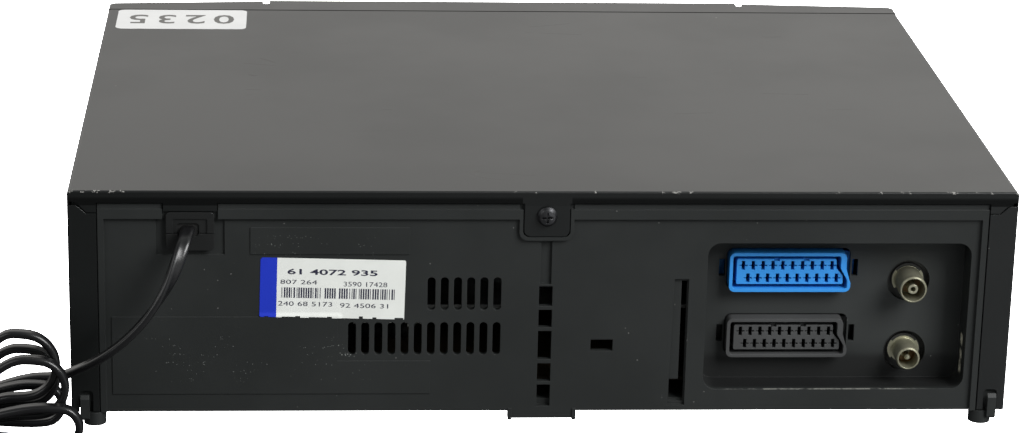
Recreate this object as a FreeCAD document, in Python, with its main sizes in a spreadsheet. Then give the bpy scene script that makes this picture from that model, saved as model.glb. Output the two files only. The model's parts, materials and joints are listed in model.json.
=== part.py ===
# A video cassette recorder, seen and measured from behind.
# Frame: +Z up, the front faces -Y, the back faces +Y, +X is the mains cord's side.
# The origin is the middle of the footprint on the surface that the recorder stands on.
# All lengths are millimetres.
import FreeCAD
import Part
import Sketcher
import math
import os

Vector = FreeCAD.Vector
DOC = FreeCAD.newDocument("cassette_recorder")
SHEET = DOC.addObject("Spreadsheet::Sheet", "Sizes")

# Driving dimensions: one named value each, in millimetres, degrees or a plain count.
DRIVING = {
    # outside
    "cover_width": 359,
    "total_height": 94,
    "total_depth": 283,
    "cover_length": 264.6,
    "skirt_bottom": 5.6,
    "sheet": 0.8,
    "bend": 1.6,
    "lip_height": 4.8,
    "wing_height": 8.5,
    "wing_width": 7.1,
    "flange_width": 10.7,
    "hem_width": 4.5,
    "gap": 0.4,
    # moulded frame
    "wall": 2.4,
    "wall_setback": 1.6,
    "wall_bottom": 5,
    "frame_clearance": 0.8,
    "ledge_width": 9,
    "ledge_height": 2.4,
    "ridge_width": 2.3,
    "ridge_proud": 1.3,
    "top_ridge_height": 6,
    "boss_radius": 3.5,
    "pilot_radius": 1.2,
    # feet
    "foot_radius": 4.3,
    "foot_stem_radius": 2.6,
    "foot_x": 170.8,
    "front_foot_radius": 9,
    "front_foot_x": 150,
    "front_foot_y": -104,
    # vents
    "vent_width": 3,
    "vent_length": 13.2,
    "vent_pitch": 5,
    "vent_first_x": 18.1,
    "vent_upper_count": 6,
    "vent_lower_count": 12,
    "vent_upper_z": 52.7,
    "vent_lower_z": 34.6,
    # jack recess
    "recess_left": -61.8,
    "recess_right": -163,
    "recess_bottom": 13.7,
    "recess_top": 73,
    "recess_depth": 12.5,
    "recess_corner": 5,
    "socket_x": -94.8,
    "socket_upper_z": 58.6,
    "socket_lower_z": 31.8,
    "socket_width": 47,
    "socket_height": 15.8,
    "socket_rim": 1.3,
    "socket_gap": 1.6,
    "socket_corner": 2.3,
    "socket_slant": 1.8,
    "insert_slant": 2.7,
    "insert_notch_width": 2.1,
    "insert_notch_depth": 0.7,
    "socket_proud": 5,
    "contact_pitch": 3.81,
    "contact_row_gap": 5.08,
    "contact_count": 10,
    "contact_width": 1.3,
    "contact_height": 3.6,
    "spring_slit_length": 3.1,
    "spring_slit_width": 0.6,
    "aerial_x": -141.8,
    "aerial_in_z": 53.6,
    "aerial_out_z": 24.8,
    "aerial_hole_radius": 8.2,
    "aerial_in_radius": 5.3,
    "aerial_out_radius": 4.55,
    "aerial_in_length": 11,
    "aerial_out_length": 9.5,
    # cord entry
    "grommet_x": 133.9,
    "grommet_width": 18,
    "grommet_bottom": 70.6,
    "grommet_top": 85.6,
    "grommet_split": 77.2,
    "grommet_proud": 1.8,
    "grommet_step": 0.6,
    "grommet_frame": 2.6,
    "cord_width": 5.2,
    "cord_thickness": 3.2,
    # front
    "face_thickness": 2.5,
    "side_bevel": 6,
    "bay_half_width": 106.5,
    "bay_bottom": 53,
    "bay_top": 89.4,
    "notch_x": 108.6,
    "notch_radius": 1.5,
    "notch_depth": 5.6,
    "door_clearance": 0.5,
    "door_thickness": 2.4,
    "door_pivot_y": -137.2,
    "door_pivot_z": 86.4,
    "door_pin_radius": 1.5,
    "pin_clearance": 0.08,
    "window_half_width": 62,
    "window_bottom": 17,
    "window_top": 45,
    "button_clearance": 0.35,
    "button_travel": 1,
    "button_proud": 1,
    # deck
    "deck_top": 36,
    "deck_sheet": 1.6,
    "deck_half_width": 104,
    "deck_front": -108,
    "deck_back": 106,
    "cassette_half_width": 93.8,
    "cassette_height": 25,
    "cassette_bottom": 56,
    "holder_sheet": 1.2,
    "holder_length": 48,
    "holder_front": -103,
    "holder_travel": 66,
    "carriage_x": 98,
    "carriage_top": 88,
    "holder_pin_radius": 1.5,
    "drum_radius": 31,
    "drum_x": 0,
    "drum_y": 66.5,
    "drum_gap_z": 57,
    "drum_tilt": 5.96,
    "reel_x": 46,
    "reel_y": -40,
    "reel_radius": 18,
    "reel_teeth": 48,
    "idler_radius": 12,
    "idler_pivot_y": -64,
    "idler_arm_length": 28,
    "capstan_x": 62,
    "capstan_y": 37,
    "capstan_radius": 1.6,
    "flywheel_radius": 27,
    "pinch_pivot_x": 84,
    "pinch_pivot_y": 20,
    "pinch_radius": 6.5,
    "loader_x": 60,
    "loader_y": 86,
    "loader_radius": 16,
    "screw_tab_width": 17.1,
    "screw_tab_bottom": 76.2,
    "screw_z": 84.3,
    "screw_radius": 3.8,
    "screw_hole_radius": 1.9,
    "hook_x": 174.3,
    "hook_width": 3.4,
    "hook_top": 12.6,
    "hook_gap": 1.4,
    "hook_bottom": 2.4,
    "tab_margin": 1,
    "rim_width": 1.4,
    "window_margin": 24,
    "beam_half_width": 6,
    "boss_length": 12,
    "plate_proud": 0.3,
    "plate_x": 51.5,
    "plate_z": 68.5,
    "plate_length": 60,
    "low_plate_x": 43.2,
    "low_plate_z": 12.2,
    "low_plate_height": 13.4,
    "text_plate_x": 78.4,
    "text_plate_height": 31.3,
    "stop_half": 13.1,
    "groove_depth": 1.2,
    "column_left": -2.9,
    "column_right": 2.2,
    "key_hole_x": -26.5,
    "key_hole_z": 29.5,
    "key_hole_width": 8.5,
    "key_hole_height": 4.6,
    "side_step": 1.3,
    "panel_corner": 3.5,
    "ear_gap": 0.6,
    "ear_thickness": 3,
    "clip_length": 12,
    "window_thickness": 1.2,
    "plate_slot_length": 24,
    "plate_slot_pitch": 9,
    "plate_slot_count": 8,
    "power_x": 140,
    "door_barrel_radius": 2.3,
    "switch_height": 4.5,
    "panel_under": 5.2,
    "holder_drop": 17,
    "cassette_slack": 0.5,
    "carriage_sheet": 1.6,
    "carriage_rear": 24,
    "pin_slack": 0.1,
    "deck_rim": 6,
    "washer": 0.6,
    "pin_radius": 1.2,
    "running": 0.05,
    "loader_drop": 10.4,
    "loader_teeth": 24,
    "worm_radius": 3.5,
    "motor_radius": 7,
    "guide_x": 32,
    "guide_y": 27,
    "guide_run": 44,
    "guide_pin_radius": 2,
    "drum_shaft": 2,
    "motor_drop": 4.4,
    "bearing_radius": 5,
    "belt_z": 15,
    "belt_width": 2.6,
    "belt_thickness": 1,
    "belt_pulley_small": 8,
    "belt_pulley_large": 12,
    "tension_x": -72,
    "tension_y": 10,
    "tension_arm_length": 26,
    "tension_rest_angle": 32.5,
    "deck_screw_head": 3.2,
    "screw_shank": 1.5,
    "tuner_height": 55,
    "aerial_flange": 6.5,
    "cord_seat": 1.2,
    "hank_loops": 6,
    "hank_wire_radius": 2.1,
    "hank_waist_z": 12,
    "hank_row_gap": 6,
    "tie_thickness": 0.8,
    "plug_width": 25.6,
    "plug_thickness": 13.7,
    "plug_length": 36,
    "plug_pin_length": 19,
    "plug_pin_gap": 18.6,
    "plug_pin_radius": 2,
    # boards
    "board_thickness": 1.6,
    "board_z": 11.5,
}

# The five windows of the back wall's middle column: bottom and height.
COLUMN_WINDOWS = ((47.7, 8), (39.1, 7.1), (26.1, 11.5), (17.1, 7.3), (6.9, 8.8))


class Size:
    """A length, with the sheet formula that it comes from."""

    def __init__(self, value, formula=None):
        self.value = float(value)
        self.formula = formula or repr(float(value))

    def __add__(self, other):
        other = as_size(other)
        return Size(self.value + other.value, f"({self.formula} + {other.formula})")

    def __sub__(self, other):
        other = as_size(other)
        return Size(self.value - other.value, f"({self.formula} - {other.formula})")

    def __mul__(self, other):
        other = as_size(other)
        return Size(self.value * other.value, f"({self.formula} * {other.formula})")

    def __truediv__(self, other):
        other = as_size(other)
        return Size(self.value / other.value, f"({self.formula} / {other.formula})")

    def __neg__(self):
        return Size(-self.value, f"(0 - {self.formula})")

    def __radd__(self, other):
        return as_size(other) + self

    def __rsub__(self, other):
        return as_size(other) - self

    def __rmul__(self, other):
        return as_size(other) * self


def as_size(number):
    return number if isinstance(number, Size) else Size(number)


class Sizes:
    """The driving dimensions, written to the sheet and kept as attributes."""

    def __init__(self, table):
        for row, (name, value) in enumerate(table.items(), start=1):
            SHEET.set(f"A{row}", name)
            SHEET.set(f"B{row}", str(value))
            SHEET.setAlias(f"B{row}", name)
            setattr(self, name, Size(value, f"Sizes.{name}"))


S = Sizes(DRIVING)
DOC.recompute()
ZERO = Size(0)
PARTS = []


def bind(thing, field, length):
    """Ties one field of a feature, such as its Length, to the sheet."""
    thing.setExpression(field, as_size(length).formula)


def ordered(first, second):
    """The same two places, the lower one first."""
    first, second = as_size(first), as_size(second)
    return (first, second) if first.value <= second.value else (second, first)


def count_of(number):
    return int(round(number.value))


def rect(u0, v0, u1, v1, corner=None):
    """A rectangle between two opposite corners, with rounded corners if asked."""
    return [(u0, v0, corner), (u1, v0, corner), (u1, v1, corner), (u0, v1, corner)]


def disc(u, v, radius):
    return ("disc", u, v, radius)


class Drawing:
    """The lines, arcs and rules of one sketch, handed over all at once."""

    def __init__(self, sketch):
        self.sketch = sketch
        self.shapes = []
        self.guides = []
        self.rules = []
        self.formulas = []

    def add(self, shape, guide=False):
        if guide:
            self.guides.append(len(self.shapes))
        self.shapes.append(shape)
        return len(self.shapes) - 1

    def line(self, start, end, guide=False):
        return self.add(Part.LineSegment(Vector(*start, 0), Vector(*end, 0)), guide)

    def rule(self, *terms):
        """Adds one rule; a Size as its last term is tied to the sheet."""
        if isinstance(terms[-1], Size):
            self.formulas.append((len(self.rules), terms[-1].formula))
            terms = terms[:-1] + (terms[-1].value,)
        self.rules.append(Sketcher.Constraint(*terms))

    def finish(self):
        self.sketch.addGeometry(self.shapes, False)
        for index in self.guides:
            self.sketch.toggleConstruction(index)
        self.sketch.addConstraint(self.rules)
        for index, formula in self.formulas:
            self.sketch.setExpression(f"Constraints[{index}]", formula)

    def place_point(self, geometry, end, u, v):
        self.rule("DistanceX", -1, 1, geometry, end, as_size(u))
        self.rule("DistanceY", -1, 1, geometry, end, as_size(v))

    def circle(self, u, v, radius):
        u, v, radius = as_size(u), as_size(v), as_size(radius)
        shape = Part.Circle(Vector(u.value, v.value, 0), Vector(0, 0, 1), radius.value)
        index = self.add(shape)
        self.place_point(index, 3, u, v)
        self.rule("Radius", index, radius)

    def polygon(self, corners):
        """A closed outline; a corner's third value, if it has one, is its radius."""
        corners = [tuple(corner) + (None,) * (3 - len(corner)) for corner in corners]
        flat = [(as_size(u).value, as_size(v).value) for u, v, _ in corners]
        total = len(corners)
        rounded = any(radius is not None for _, _, radius in corners)
        guide = []
        for index in range(total):
            guide.append(self.line(flat[index], flat[(index + 1) % total], rounded))
        for index, (u, v, _) in enumerate(corners):
            self.rule("Coincident", guide[index - 1], 2, guide[index], 1)
            self.place_point(guide[index], 1, u, v)
        if rounded:
            self.rounded_sides(corners, flat, guide)

    def rounded_sides(self, corners, flat, guide):
        """The real sides and arcs, on a guide polygon of construction lines."""
        total = len(corners)
        setback = []
        for index, (_, _, radius) in enumerate(corners):
            before = unit(flat[index], flat[index - 1])
            after = unit(flat[index], flat[(index + 1) % total])
            half_angle = math.acos(before[0] * after[0] + before[1] * after[1]) / 2
            reach = 0 if radius is None else as_size(radius).value / math.tan(half_angle)
            setback.append((reach, before, after, half_angle))
        sides = []
        for index in range(total):
            reach, _, after, _ = setback[index]
            start = shift(flat[index], after, reach)
            reach, before, _, _ = setback[(index + 1) % total]
            end = shift(flat[(index + 1) % total], before, reach)
            side = self.line(start, end)
            self.rule("PointOnObject", side, 1, guide[index])
            self.rule("PointOnObject", side, 2, guide[index])
            sides.append(side)
        for index, (_, _, radius) in enumerate(corners):
            if radius is None:
                self.rule("Coincident", sides[index - 1], 2, sides[index], 1)
            else:
                self.corner_arc(flat[index], setback[index], as_size(radius),
                                sides[index - 1], sides[index])

    def corner_arc(self, corner, setback, radius, side_before, side_after):
        _, before, after, half_angle = setback
        middle = (before[0] + after[0], before[1] + after[1])
        middle = unit((0, 0), middle)
        centre = shift(corner, middle, radius.value / math.sin(half_angle))
        opening = math.pi / 2 - half_angle
        facing = math.atan2(-middle[1], -middle[0])
        circle = Part.Circle(Vector(*centre, 0), Vector(0, 0, 1), radius.value)
        arc = Part.ArcOfCircle(circle, facing - opening, facing + opening)
        index = self.add(arc)
        left_turn = before[0] * after[1] - before[1] * after[0] < 0
        first, second = (1, 2) if left_turn else (2, 1)
        self.rule("Tangent", side_before, 2, index, first)
        self.rule("Tangent", side_after, 1, index, second)
        self.rule("Radius", index, radius)


def unit(start, end):
    length = math.dist(start, end)
    return ((end[0] - start[0]) / length, (end[1] - start[1]) / length)


def shift(point, direction, distance):
    return (point[0] + direction[0] * distance, point[1] + direction[1] * distance)


class Piece:
    """One sub-part of the recorder, drawn in sketches on its own origin planes."""

    planes = {"x": ("YZ_Plane", 1), "y": ("XZ_Plane", -1), "z": ("XY_Plane", 1)}

    def __init__(self, name, at=(0, 0, 0), lean=None, part=True):
        self.name = name
        self.body = DOC.addObject("PartDesign::Body", name)
        self.body.Label = name
        self.features = 0
        turn = FreeCAD.Rotation()
        if lean is not None:
            turn = FreeCAD.Rotation(Vector(*lean[0]), lean[1])
        start = [as_size(value) for value in at]
        spot = Vector(*[value.value for value in start])
        self.body.Placement = FreeCAD.Placement(spot, turn)
        for letter, value in zip("xyz", start):
            bind(self.body, f"Placement.Base.{letter}", value)
        if part:
            PARTS.append(self.body)

    def feature(self, kind):
        self.features += 1
        short = kind.split("::")[1].lower()
        return self.body.newObject(kind, f"{self.name}_{short}_{self.features}")

    def sketch(self, axis, place, shapes):
        role, sign = self.planes[axis]
        sketch = self.feature("Sketcher::SketchObject")
        planes = self.body.Origin.OriginFeatures
        plane = next(item for item in planes if item.Role == role)
        sketch.AttachmentSupport = [(plane, "")]
        sketch.MapMode = "FlatFace"
        offset = as_size(place) * sign
        sketch.AttachmentOffset.Base.z = offset.value
        bind(sketch, "AttachmentOffset.Base.z", offset)
        drawing = Drawing(sketch)
        for shape in shapes:
            if shape[0] == "disc":
                drawing.circle(*shape[1:])
            else:
                drawing.polygon(shape)
        drawing.finish()
        return sketch

    def pad(self, axis, low, high, *shapes):
        """Adds material between two places along an axis."""
        low, high = ordered(low, high)
        start = high if axis == "y" else low
        pad = self.feature("PartDesign::Pad")
        pad.Profile = self.sketch(axis, start, shapes)
        pad.Length = (as_size(high) - low).value
        bind(pad, "Length", as_size(high) - low)
        self.body.Tip = pad
        return pad

    def cut(self, axis, low, high, *shapes):
        """Takes material away between two places along an axis."""
        low, high = ordered(low, high)
        start = low if axis == "y" else high
        pocket = self.feature("PartDesign::Pocket")
        pocket.Profile = self.sketch(axis, start, shapes)
        pocket.Length = (as_size(high) - low).value
        bind(pocket, "Length", as_size(high) - low)
        self.body.Tip = pocket
        return pocket

    def turned(self, *profiles):
        """Adds a solid of revolution about the piece's own upright axis."""
        turned = self.feature("PartDesign::Revolution")
        sketch = self.sketch("y", ZERO, profiles)
        turned.Profile = sketch
        turned.ReferenceAxis = (sketch, ["V_Axis"])
        turned.Angle = 360
        self.body.Tip = turned
        return turned

    def grooved(self, *profiles):
        """Takes a solid of revolution away."""
        groove = self.feature("PartDesign::Groove")
        sketch = self.sketch("y", ZERO, profiles)
        groove.Profile = sketch
        groove.ReferenceAxis = (sketch, ["V_Axis"])
        groove.Angle = 360
        self.body.Tip = groove
        return groove

    def in_row(self, feature, axis, pitch, count, backwards=False):
        """Repeats a feature along a sketch axis at a steady pitch."""
        row = self.feature("PartDesign::LinearPattern")
        row.Originals = [feature]
        row.Direction = (feature.Profile[0], [axis])
        row.Reversed = backwards
        row.Occurrences = count_of(count)
        bind(row, "Occurrences", count)
        row.Length = (pitch * (count - 1)).value
        bind(row, "Length", pitch * (count - 1))
        self.body.Tip = row
        return row

    def in_ring(self, feature, count):
        """Repeats a feature round the piece's own upright axis."""
        ring = self.feature("PartDesign::PolarPattern")
        ring.Originals = [feature]
        planes = self.body.Origin.OriginFeatures
        upright = next(item for item in planes if item.Role == "Z_Axis")
        ring.Axis = (upright, [""])
        ring.Angle = 360
        ring.Occurrences = count_of(as_size(count))
        bind(ring, "Occurrences", count)
        self.body.Tip = ring
        return ring

    def rounded(self, radius, chosen, kind="Fillet"):
        """Rounds or bevels the edges that the test picks on the piece as it is."""
        DOC.recompute()
        base = self.body.Tip
        names = []
        for number, edge in enumerate(base.Shape.Edges, start=1):
            if chosen(edge):
                names.append(f"Edge{number}")
        rounding = self.feature(f"PartDesign::{kind}")
        rounding.Base = (base, names)
        field = "Radius" if kind == "Fillet" else "Size"
        setattr(rounding, field, as_size(radius).value)
        bind(rounding, field, radius)
        self.body.Tip = rounding
        return rounding


def joined(name, bodies):
    """One body as it is, or several as one fusion."""
    if len(bodies) == 1:
        return bodies[0].body
    fusion = DOC.addObject("Part::MultiFuse", name)
    fusion.Shapes = [piece.body for piece in bodies]
    return fusion


def combined(name, solids, cutters=()):
    """A sub-part made of several bodies, less the cutter bodies."""
    if not cutters:
        fusion = joined(name, solids)
        fusion.Label = name
        PARTS.append(fusion)
        return fusion
    cut = DOC.addObject("Part::Cut", name)
    cut.Label = name
    cut.Base = joined(f"{name}_solids", solids)
    cut.Tool = joined(f"{name}_cutters", cutters)
    PARTS.append(cut)
    return cut


def near(first, second):
    return abs(first - as_size(second).value) < 0.02


def edge_along(axis, **place):
    """A test for straight edges along an axis, at given places across it."""
    def chosen(edge):
        box = edge.BoundBox
        spans = {"x": (box.XMin, box.XMax), "y": (box.YMin, box.YMax),
                 "z": (box.ZMin, box.ZMax)}
        if spans[axis][1] - spans[axis][0] < 0.05:
            return False
        for letter, (low, high) in spans.items():
            if letter != axis and high - low > 0.02:
                return False
        for letter, value in place.items():
            choices = value if isinstance(value, tuple) else (value,)
            if not any(near(spans[letter][0], choice) for choice in choices):
                return False
        return True
    return chosen


REAR = S.total_depth / 2
FRONT = -REAR
SEAM = REAR - S.cover_length
HALF = S.cover_width / 2
TOP = S.total_height
INNER_HALF = HALF - S.sheet
FIELD = REAR - S.wall_setback
WALL_INSIDE = FIELD - S.wall
FRAME_HALF = INNER_HALF - S.frame_clearance
FLANGE_INNER = HALF - S.flange_width
FRAME_FRONT = SEAM + 2
SEAT = S.skirt_bottom + S.sheet + S.gap
POST_X = S.deck_half_width - 6
POST_FRONT = S.deck_front + 4
POST_BACK = S.deck_back - 8
POSTS = [(x, y) for x in (-POST_X, POST_X) for y in (POST_FRONT, POST_BACK)]
STUD_X = FRAME_HALF - S.wall - 5
STUDS = [(x, y) for x in (-STUD_X, STUD_X, -POST_X, POST_X)
         for y in (FRAME_FRONT + 8, WALL_INSIDE - 24)]
RECESS_BACK = FIELD - S.recess_depth
PLATE_UNDER = SEAT - S.sheet
PANEL_HALF = HALF - 0.2
PANEL_BACK = SEAM - 0.2
PANEL_UNDER = S.panel_under
PANEL_TOP = TOP - 0.3
BOARD_FRONT = FRAME_FRONT + 0.1
HOLDER_PIN_FRONT = S.holder_front + 8
HOLDER_PIN_BACK = S.holder_front + 40
HOLDER_PIN_Z = S.cassette_bottom + 12
PINCH_ARM = S.pinch_pivot_x - S.capstan_x
GUIDE_WAY = (13, 43)
JACK_BOARD_BACK = RECESS_BACK - 17.4

# The front's push buttons: name, middle across, middle up, width and height.
BUTTONS = (("power", -144, 74, 30, 12), ("channel_down", -153, 30, 15, 9),
           ("channel_up", -133, 30, 15, 9), ("play", 143, 74, 44, 13),
           ("rewind", 130, 56, 18, 9), ("forward", 156, 56, 18, 9), ("stop", 130, 42, 18, 9),
           ("pause", 156, 42, 18, 9), ("record", 130, 26, 18, 9), ("eject", 156, 26, 18, 9))
# Flat chips on the main board: left, front, width, depth.
CHIPS = ((-60, -40, 22, 14), (-86, -20, 14, 20), (-60, 0, 30, 16), (-88, 30, 20, 20),
         (-30, -96, 26, 12), (-150, -60, 24, 24), (-156, 0, 18, 30), (118, -60, 20, 12))
SMALL_CAPACITORS = ((-34, -50), (-24, -50), (-96, -40), (-96, -28), (-24, 30), (-34, 30),
                    (-122, -20), (-122, -10), (-132, 44), (-120, 44), (114, -80), (126, -80))
LARGE_CAPACITORS = ((118, 96), (134, 96), (150, 12), (150, -8), (132, -24))
# The cord's route, chosen by hand: each point from the middle of its exit, in millimetres.
CORD_STEPS = ((0, 0, 0), (0.4, 7.2, -0.4), (2.3, 12.7, -5), (5.2, 15.8, -13),
              (10, 18, -22), (16.4, 19.4, -30.6), (24.2, 19.6, -38.6), (33, 17.8, -45.6),
              (41.5, 14.6, -51), (48.6, 11.5, -54.8))
# The hank: its near and far ends, its waist, and which loop stands tallest.
HANK_NEAR_X = 188
HANK_NEAR_SPREAD = 7
HANK_NEAR_DRIFT = 2
HANK_NEAR_REACH = 9
HANK_NEAR_SWELL = 3.5
HANK_NEAR_LIFT = 10.5
HANK_NEAR_PITCH = 5.8
HANK_FAR_X = 272
HANK_FAR_SPREAD = 4
HANK_FAR_REACH = 8
HANK_FAR_SWELL = 2
HANK_WAIST_X = 234
HANK_MIDDLE_Y = 170
HANK_TALLEST = 3
HANK_PITCH = 5.2
CORD_JOINT = (183.3, 152, 23.9)
PLUG_JOINT = (272, 204, 6.85)


def make_top_cover():
    """Folded steel lid: top, two sides, hems underneath and the lips at the back."""
    cover = Piece("top_cover")
    sheet = S.sheet
    cover.pad("y", SEAM, REAR,
              [(-HALF, S.skirt_bottom), (HALF, S.skirt_bottom),
               (HALF, TOP, S.bend), (-HALF, TOP, S.bend)])
    cover.cut("y", SEAM, REAR,
              [(-INNER_HALF, S.skirt_bottom), (INNER_HALF, S.skirt_bottom),
               (INNER_HALF, TOP - sheet, S.bend - sheet),
               (-INNER_HALF, TOP - sheet, S.bend - sheet)])
    hem_inner = HALF - S.hem_width
    for side in (1, -1):
        cover.pad("z", S.skirt_bottom, S.skirt_bottom + sheet,
                  rect(side * hem_inner, SEAM, side * INNER_HALF, REAR - S.flange_width))
    lip = TOP - S.lip_height
    wing = TOP - S.wing_height
    step = FLANGE_INNER + S.wing_width
    tab_half = S.screw_tab_width / 2
    cord_tab = S.grommet_width / 2 + 1
    cover.pad("y", REAR - sheet, REAR,
              [(-INNER_HALF, lip + 0.6), (-step, lip), (-(FLANGE_INNER + 3.6), wing),
               (-FLANGE_INNER, wing), (-FLANGE_INNER, lip),
               (-tab_half, lip), (-tab_half, S.screw_tab_bottom, 2.5),
               (tab_half, S.screw_tab_bottom, 2.5), (tab_half, lip),
               (S.grommet_x - cord_tab, lip),
               (S.grommet_x - cord_tab, S.grommet_top + S.gap),
               (S.grommet_x + cord_tab, S.grommet_top + S.gap),
               (S.grommet_x + cord_tab, lip),
               (FLANGE_INNER, lip), (FLANGE_INNER, wing),
               (FLANGE_INNER + 3.6, wing), (step, lip), (INNER_HALF, lip + 0.6),
               (INNER_HALF, TOP - sheet), (-INNER_HALF, TOP - sheet)])
    slot_low = S.hook_x - S.hook_width / 2 - S.hook_gap
    slot_high = S.hook_x + S.hook_width / 2 + S.gap
    for side in (1, -1):
        cover.pad("y", REAR - sheet, REAR,
                  [(side * FLANGE_INNER, S.skirt_bottom), (side * INNER_HALF, S.skirt_bottom),
                   (side * INNER_HALF, lip - 1), (side * (step + 0.4), lip - S.gap - 0.4),
                   (side * (FLANGE_INNER + 3.8), wing - S.gap),
                   (side * FLANGE_INNER, wing - S.gap)])
        cover.cut("y", REAR - sheet, REAR,
                  [(side * slot_low, S.skirt_bottom), (side * slot_high, S.skirt_bottom),
                   (side * slot_high, S.hook_top + S.hook_gap, 1.6),
                   (side * slot_low, S.hook_top + S.hook_gap, 1.6)])
    cover.cut("y", REAR - sheet, REAR, disc(0, S.screw_z, S.screw_hole_radius))
    cover.rounded(S.sheet - 0.1, edge_along("x", y=REAR, z=TOP))
    return cover


def make_main_frame():
    """Moulded frame: back wall with its recesses, side walls, ledges, feet and bosses."""
    ceiling = TOP - S.sheet - S.gap
    recess_back = RECESS_BACK
    inner = FRAME_HALF - S.wall
    ridge_top = TOP - S.lip_height - S.gap
    ridge_low = ridge_top - S.top_ridge_height
    tab = S.screw_tab_width / 2 + S.gap
    rim = tab + S.rim_width
    cord_low = S.grommet_x - S.grommet_width / 2 - S.tab_margin - S.gap
    cord_high = S.grommet_x + S.grommet_width / 2 + S.tab_margin + S.gap

    walls = Piece("frame_walls", part=False)
    walls.pad("y", WALL_INSIDE, FIELD,
              [(-FLANGE_INNER, S.wall_bottom), (FLANGE_INNER, S.wall_bottom),
               (FLANGE_INNER, SEAT), (FRAME_HALF, SEAT), (FRAME_HALF, ceiling),
               (-FRAME_HALF, ceiling), (-FRAME_HALF, SEAT), (-FLANGE_INNER, SEAT)])
    walls.pad("z", SEAT, ceiling,
              rect(inner, FRAME_FRONT, FRAME_HALF, WALL_INSIDE),
              rect(-inner, FRAME_FRONT, -FRAME_HALF, WALL_INSIDE))
    walls.cut("x", -FRAME_HALF, FRAME_HALF,
              rect(FRAME_FRONT + S.window_margin, SEAT + 30, -S.window_margin / 2,
                   ceiling - 12, 4),
              rect(S.window_margin / 2, SEAT + 30, WALL_INSIDE - S.window_margin,
                   ceiling - 12, 4))
    walls.pad("z", SEAT, SEAT + S.ledge_height,
              rect(-inner, FRAME_FRONT, inner, WALL_INSIDE))
    open_half = inner - S.ledge_width
    beam = S.beam_half_width
    walls.cut("z", SEAT, SEAT + S.ledge_height,
              *[rect(low, FRAME_FRONT + 22, high, WALL_INSIDE - 34, 3)
                for low, high in ((-open_half, -POST_X - beam), (beam - POST_X, POST_X - beam),
                                  (POST_X + beam, open_half))])
    walls.pad("y", recess_back - S.wall, WALL_INSIDE,
              rect(S.recess_right - S.wall, S.recess_bottom - S.wall,
                   S.recess_left + S.wall, S.recess_top + S.wall))
    walls.pad("y", FIELD - S.boss_length, WALL_INSIDE, disc(0, S.screw_z, S.boss_radius))
    walls.pad("z", SEAT + S.ledge_height, S.deck_top - S.deck_sheet,
              *[disc(x, y, S.boss_radius) for x, y in POSTS])
    walls.pad("z", SEAT + S.ledge_height, S.board_z,
              *[disc(x, y, S.boss_radius) for x, y in STUDS])

    trims = Piece("frame_trims", part=False)
    edge = FLANGE_INNER - S.gap
    runs = ((-edge, -rim), (rim, cord_low), (cord_high, edge))
    trims.pad("y", FIELD, FIELD + S.ridge_proud,
              *[rect(low, ridge_low, high, ridge_top - 2) for low, high in runs],
              [(-rim, ridge_top - 2), (-rim, S.screw_tab_bottom - 1.8, 3.5),
               (rim, S.screw_tab_bottom - 1.8, 3.5), (rim, ridge_top - 2),
               (tab, ridge_top - 2), (tab, S.screw_tab_bottom - S.gap, 2.4),
               (-tab, S.screw_tab_bottom - S.gap, 2.4), (-tab, ridge_top - 2)])
    trims.pad("y", FIELD, FIELD + S.ridge_proud,
              *[rect(side * edge, S.wall_bottom, side * (edge - S.ridge_width), ridge_low)
                for side in (1, -1)])
    trims.pad("y", FIELD, FIELD + S.ridge_proud / 2,
              *[rect(low, ridge_top - 2, high, ridge_top) for low, high in runs])
    trims.pad("y", FIELD, FIELD + S.plate_proud,
              rect(S.plate_x, S.plate_z, S.plate_x + S.plate_length, ridge_low - 3.6),
              [(S.low_plate_x, S.low_plate_z), (FLANGE_INNER - 5, S.low_plate_z),
               (FLANGE_INNER - 5, S.low_plate_z + S.text_plate_height),
               (S.text_plate_x, S.low_plate_z + S.text_plate_height),
               (S.text_plate_x, S.low_plate_z + S.low_plate_height),
               (S.low_plate_x, S.low_plate_z + S.low_plate_height)])
    trims.pad("z", 0, S.skirt_bottom - S.gap,
              *[disc(side * S.foot_x, FIELD - 2.2, S.foot_radius) for side in (1, -1)])
    trims.pad("z", 0, SEAT + S.ledge_height,
              *[disc(side * S.foot_x, FIELD - 2.2, S.foot_stem_radius) for side in (1, -1)])
    for side in (1, -1):
        trims.pad("x", side * (S.hook_x - S.hook_width / 2), side * (S.hook_x + S.hook_width / 2),
                  [(WALL_INSIDE, SEAT + 4), (WALL_INSIDE, S.hook_bottom),
                   (REAR + 0.6, S.hook_bottom), (REAR + 1.6, S.hook_bottom + 1),
                   (REAR + 1.6, S.hook_top - 1.5), (REAR + 0.6, S.hook_top),
                   (REAR + 0.2, S.hook_top), (REAR + 0.2, SEAT - 2),
                   (FIELD, SEAT - 2), (FIELD, SEAT + 4)])
    trims.pad("y", FIELD - 1.6, FIELD, rect(-S.stop_half, 1.9, S.stop_half, S.wall_bottom))
    trims.pad("y", FIELD - 4, FIELD + 0.4,
              *[rect(side * S.stop_half, 1.3, side * (S.stop_half - 1.5), S.wall_bottom + 1)
                for side in (1, -1)])

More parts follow.
